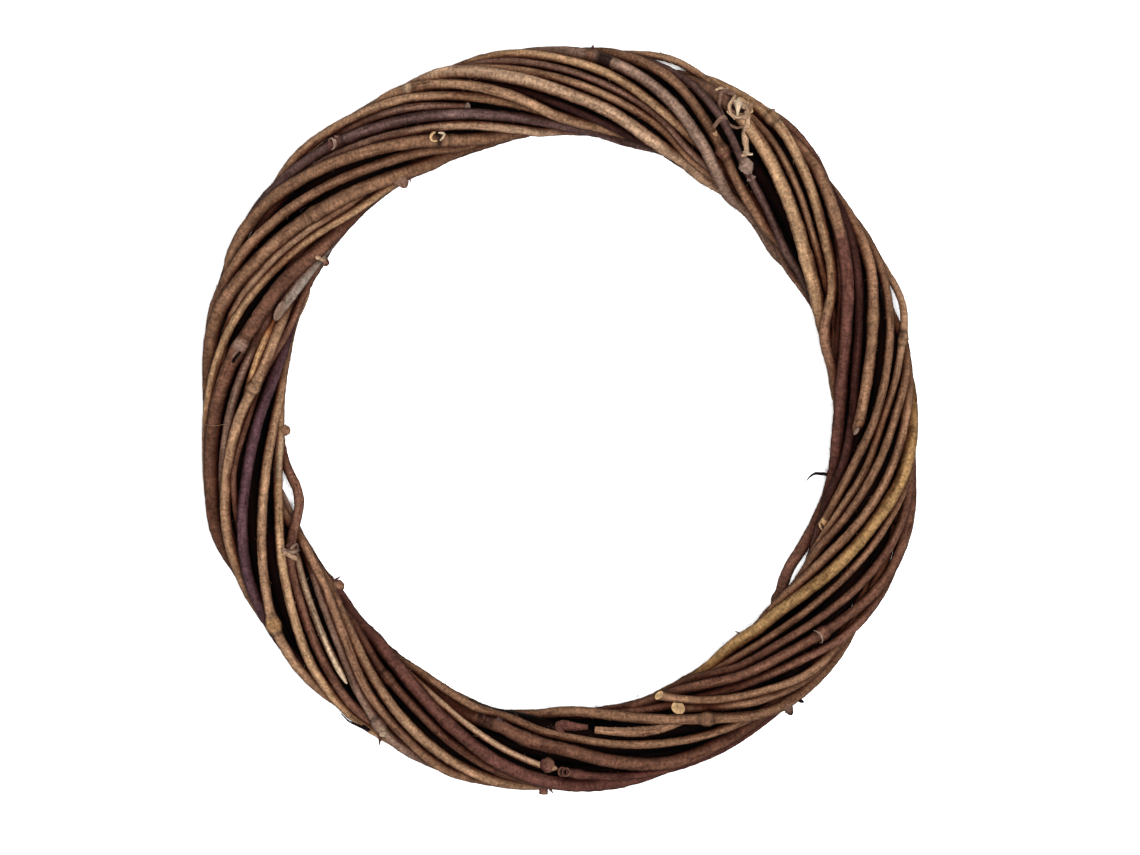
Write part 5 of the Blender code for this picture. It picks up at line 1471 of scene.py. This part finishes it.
def makeBark(name, seed):
    material = bpy.data.materials.new(name)
    material.use_nodes = True
    tree = material.node_tree
    shader = tree.nodes["Principled BSDF"]

    def node(kind, settings, values, out=0):
        return addNode(tree, kind, settings, values, out)

    def ramp(value, stops):
        return node("ShaderNodeValToRGB", {"stops": stops}, {0: value})

    def attribute(key, out):
        return node("ShaderNodeAttribute", {"attribute_name": key}, {}, out)

    def stain(gain, colour):
        return mixColours(tree, "MULTIPLY", 1.0, colour, gain)

    turns = node("ShaderNodeUVMap", {"uv_map": "bark"}, {})
    around = node("ShaderNodeSeparateXYZ", {}, {0: turns}, 0) * (2.0 * math.pi)
    run = node("ShaderNodeSeparateXYZ", {}, {0: turns}, 1)
    sine, cosine = (node("ShaderNodeMath", {"operation": wave}, {0: around}) * bark["stemRadius"]
                    for wave in ("SINE", "COSINE"))

    def noise(scale, stretch, shift, detail, rough):  # on an unrolled stem, drawn out along it
        spot = node("ShaderNodeCombineXYZ", {}, {0: sine, 1: cosine, 2: run * stretch + (seed + shift)})
        return node("ShaderNodeTexNoise", {"noise_dimensions": "3D"},
                    {"Vector": spot, "Scale": scale, "Detail": detail, "Roughness": rough})

    found = {}
    shade = attribute("tone", 0)
    for layer, (*measures, gain) in layers.items():
        found[layer] = noise(*measures)
        shade = stain(ramp(found[layer], gain), shade)
    cracks = noise(*bark["cracks"])
    crackMask = ramp(cracks, bark["crackStops"])
    shade = mixColours(tree, "MULTIPLY", crackMask * bark["crackShare"], shade, bark["crackTone"])
    wood = stain(ramp(noise(*bark["woodGrain"]), bark["woodGain"]), attribute("tone", 0))
    shade = mixColours(tree, "MIX", attribute("cut", 2), shade, wood)
    # The open-sky share darkens and brightens the base colour: painted shade and painted highlight.
    shade = stain(ramp(attribute("open", 2), bark["paintedShadeGain"]), shade)
    shade = stain(bark["gain"], shade)
    tree.links.new(shade.socket, shader.inputs["Base Color"])
    low, high = bark["rough"]
    worn = ramp(found["streaks"] + found["speckle"] * bark["roughSpeckle"], bark["roughStops"])
    gloss = low + (high - low) * worn
    tree.links.new(gloss.socket, shader.inputs["Roughness"])
    height = cracks * bark["crackHeight"] - crackMask * bark["crackHeight"]
    for layer, share in bark["heights"].items():
        height = height + found[layer] * share
    grain = node("ShaderNodeBump", {},
                 {"Strength": bark["bump"], "Distance": bark["bumpDepth"], "Height": height})
    tree.links.new(grain.socket, shader.inputs["Normal"])
    shader.inputs["Specular IOR Level"].default_value = bark["shine"]
    return material


for count, (name, piece) in enumerate(pieces.items()):
    piece.data.materials.append(makeBark(name + "_bark", bark["apart"] * count))
    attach(piece, "root")
    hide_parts(name)
print("stage: the bark is on")

# The studio: a pale floor, one large soft light over the camera, and a dim white surround.
studio = {
    "floorSize": 4.0,
    "floorTone": (0.94, 0.94, 0.94, 1.0),
    "floorRough": 0.9,
    "fleck": {"Scale": 900.0, "Detail": 2.0},
    "fleckTone": (0.9, 0.9, 0.9, 1.0),
    "fleckShare": 0.02,
    "keySize": 0.80,
    "keyAt": (0.14, -0.05, 2.40),
    "keyPower": 148.0,
    "surround": 0.10,
    "white": (1.0, 1.0, 1.0, 1.0),
    "lens": 200.0,  # millimetres
    "sensor": 36.0,
    "nearest": 0.01,
    "frameWidth": 1140 * step,  # the photograph's
    "aim": (11 * step, -6.5 * step, 0.026),
}


def layFloor():
    mesh = bmesh.new()
    bmesh.ops.create_grid(mesh, x_segments=2, y_segments=2, size=studio["floorSize"] / 2.0)
    data = bpy.data.meshes.new("floor")
    mesh.to_mesh(data)
    mesh.free()
    paper = bpy.data.materials.new("paper")
    paper.use_nodes = True
    tree = paper.node_tree
    shader = tree.nodes["Principled BSDF"]
    spot = addNode(tree, "ShaderNodeTexCoord", {}, {}, 3)
    fleck = addNode(tree, "ShaderNodeTexNoise", {}, {"Vector": spot, **studio["fleck"]})
    share = fleck * studio["fleckShare"]
    tint = mixColours(tree, "MULTIPLY", share, studio["floorTone"], studio["fleckTone"])
    tree.links.new(tint.socket, shader.inputs["Base Color"])
    shader.inputs["Roughness"].default_value = studio["floorRough"]
    data.materials.append(paper)
    putOut("floor", data)


def hangLights():
    light = bpy.data.lights.new("softbox", "AREA")
    light.shape = "DISK"
    light.size = studio["keySize"]
    light.energy = studio["keyPower"]
    lamp = putOut("softbox", light)
    lamp.location = studio["keyAt"]
    lamp.rotation_euler = (-Vector(studio["keyAt"])).to_track_quat("-Z", "Y").to_euler()
    world = bpy.data.worlds.new("surround")
    world.use_nodes = True
    glow = world.node_tree.nodes["Background"].inputs
    glow[0].default_value = studio["white"]
    glow[1].default_value = studio["surround"]
    bpy.context.scene.world = world


def setCamera():  # straight down, as the photograph looks at the wreath
    camera = bpy.data.cameras.new("camera")
    camera.lens = studio["lens"]
    camera.sensor_width = studio["sensor"]
    camera.clip_start = studio["nearest"]
    distance = studio["lens"] / studio["sensor"] * studio["frameWidth"]
    view = putOut("camera", camera)
    view.location = axisSpot + studio["aim"] + (0.0, 0.0, distance)
    bpy.context.scene.camera = view
    bpy.context.scene.view_settings.view_transform = "Standard"


layFloor()
hangLights()
setCamera()
print("stage: floor, light and camera are set")
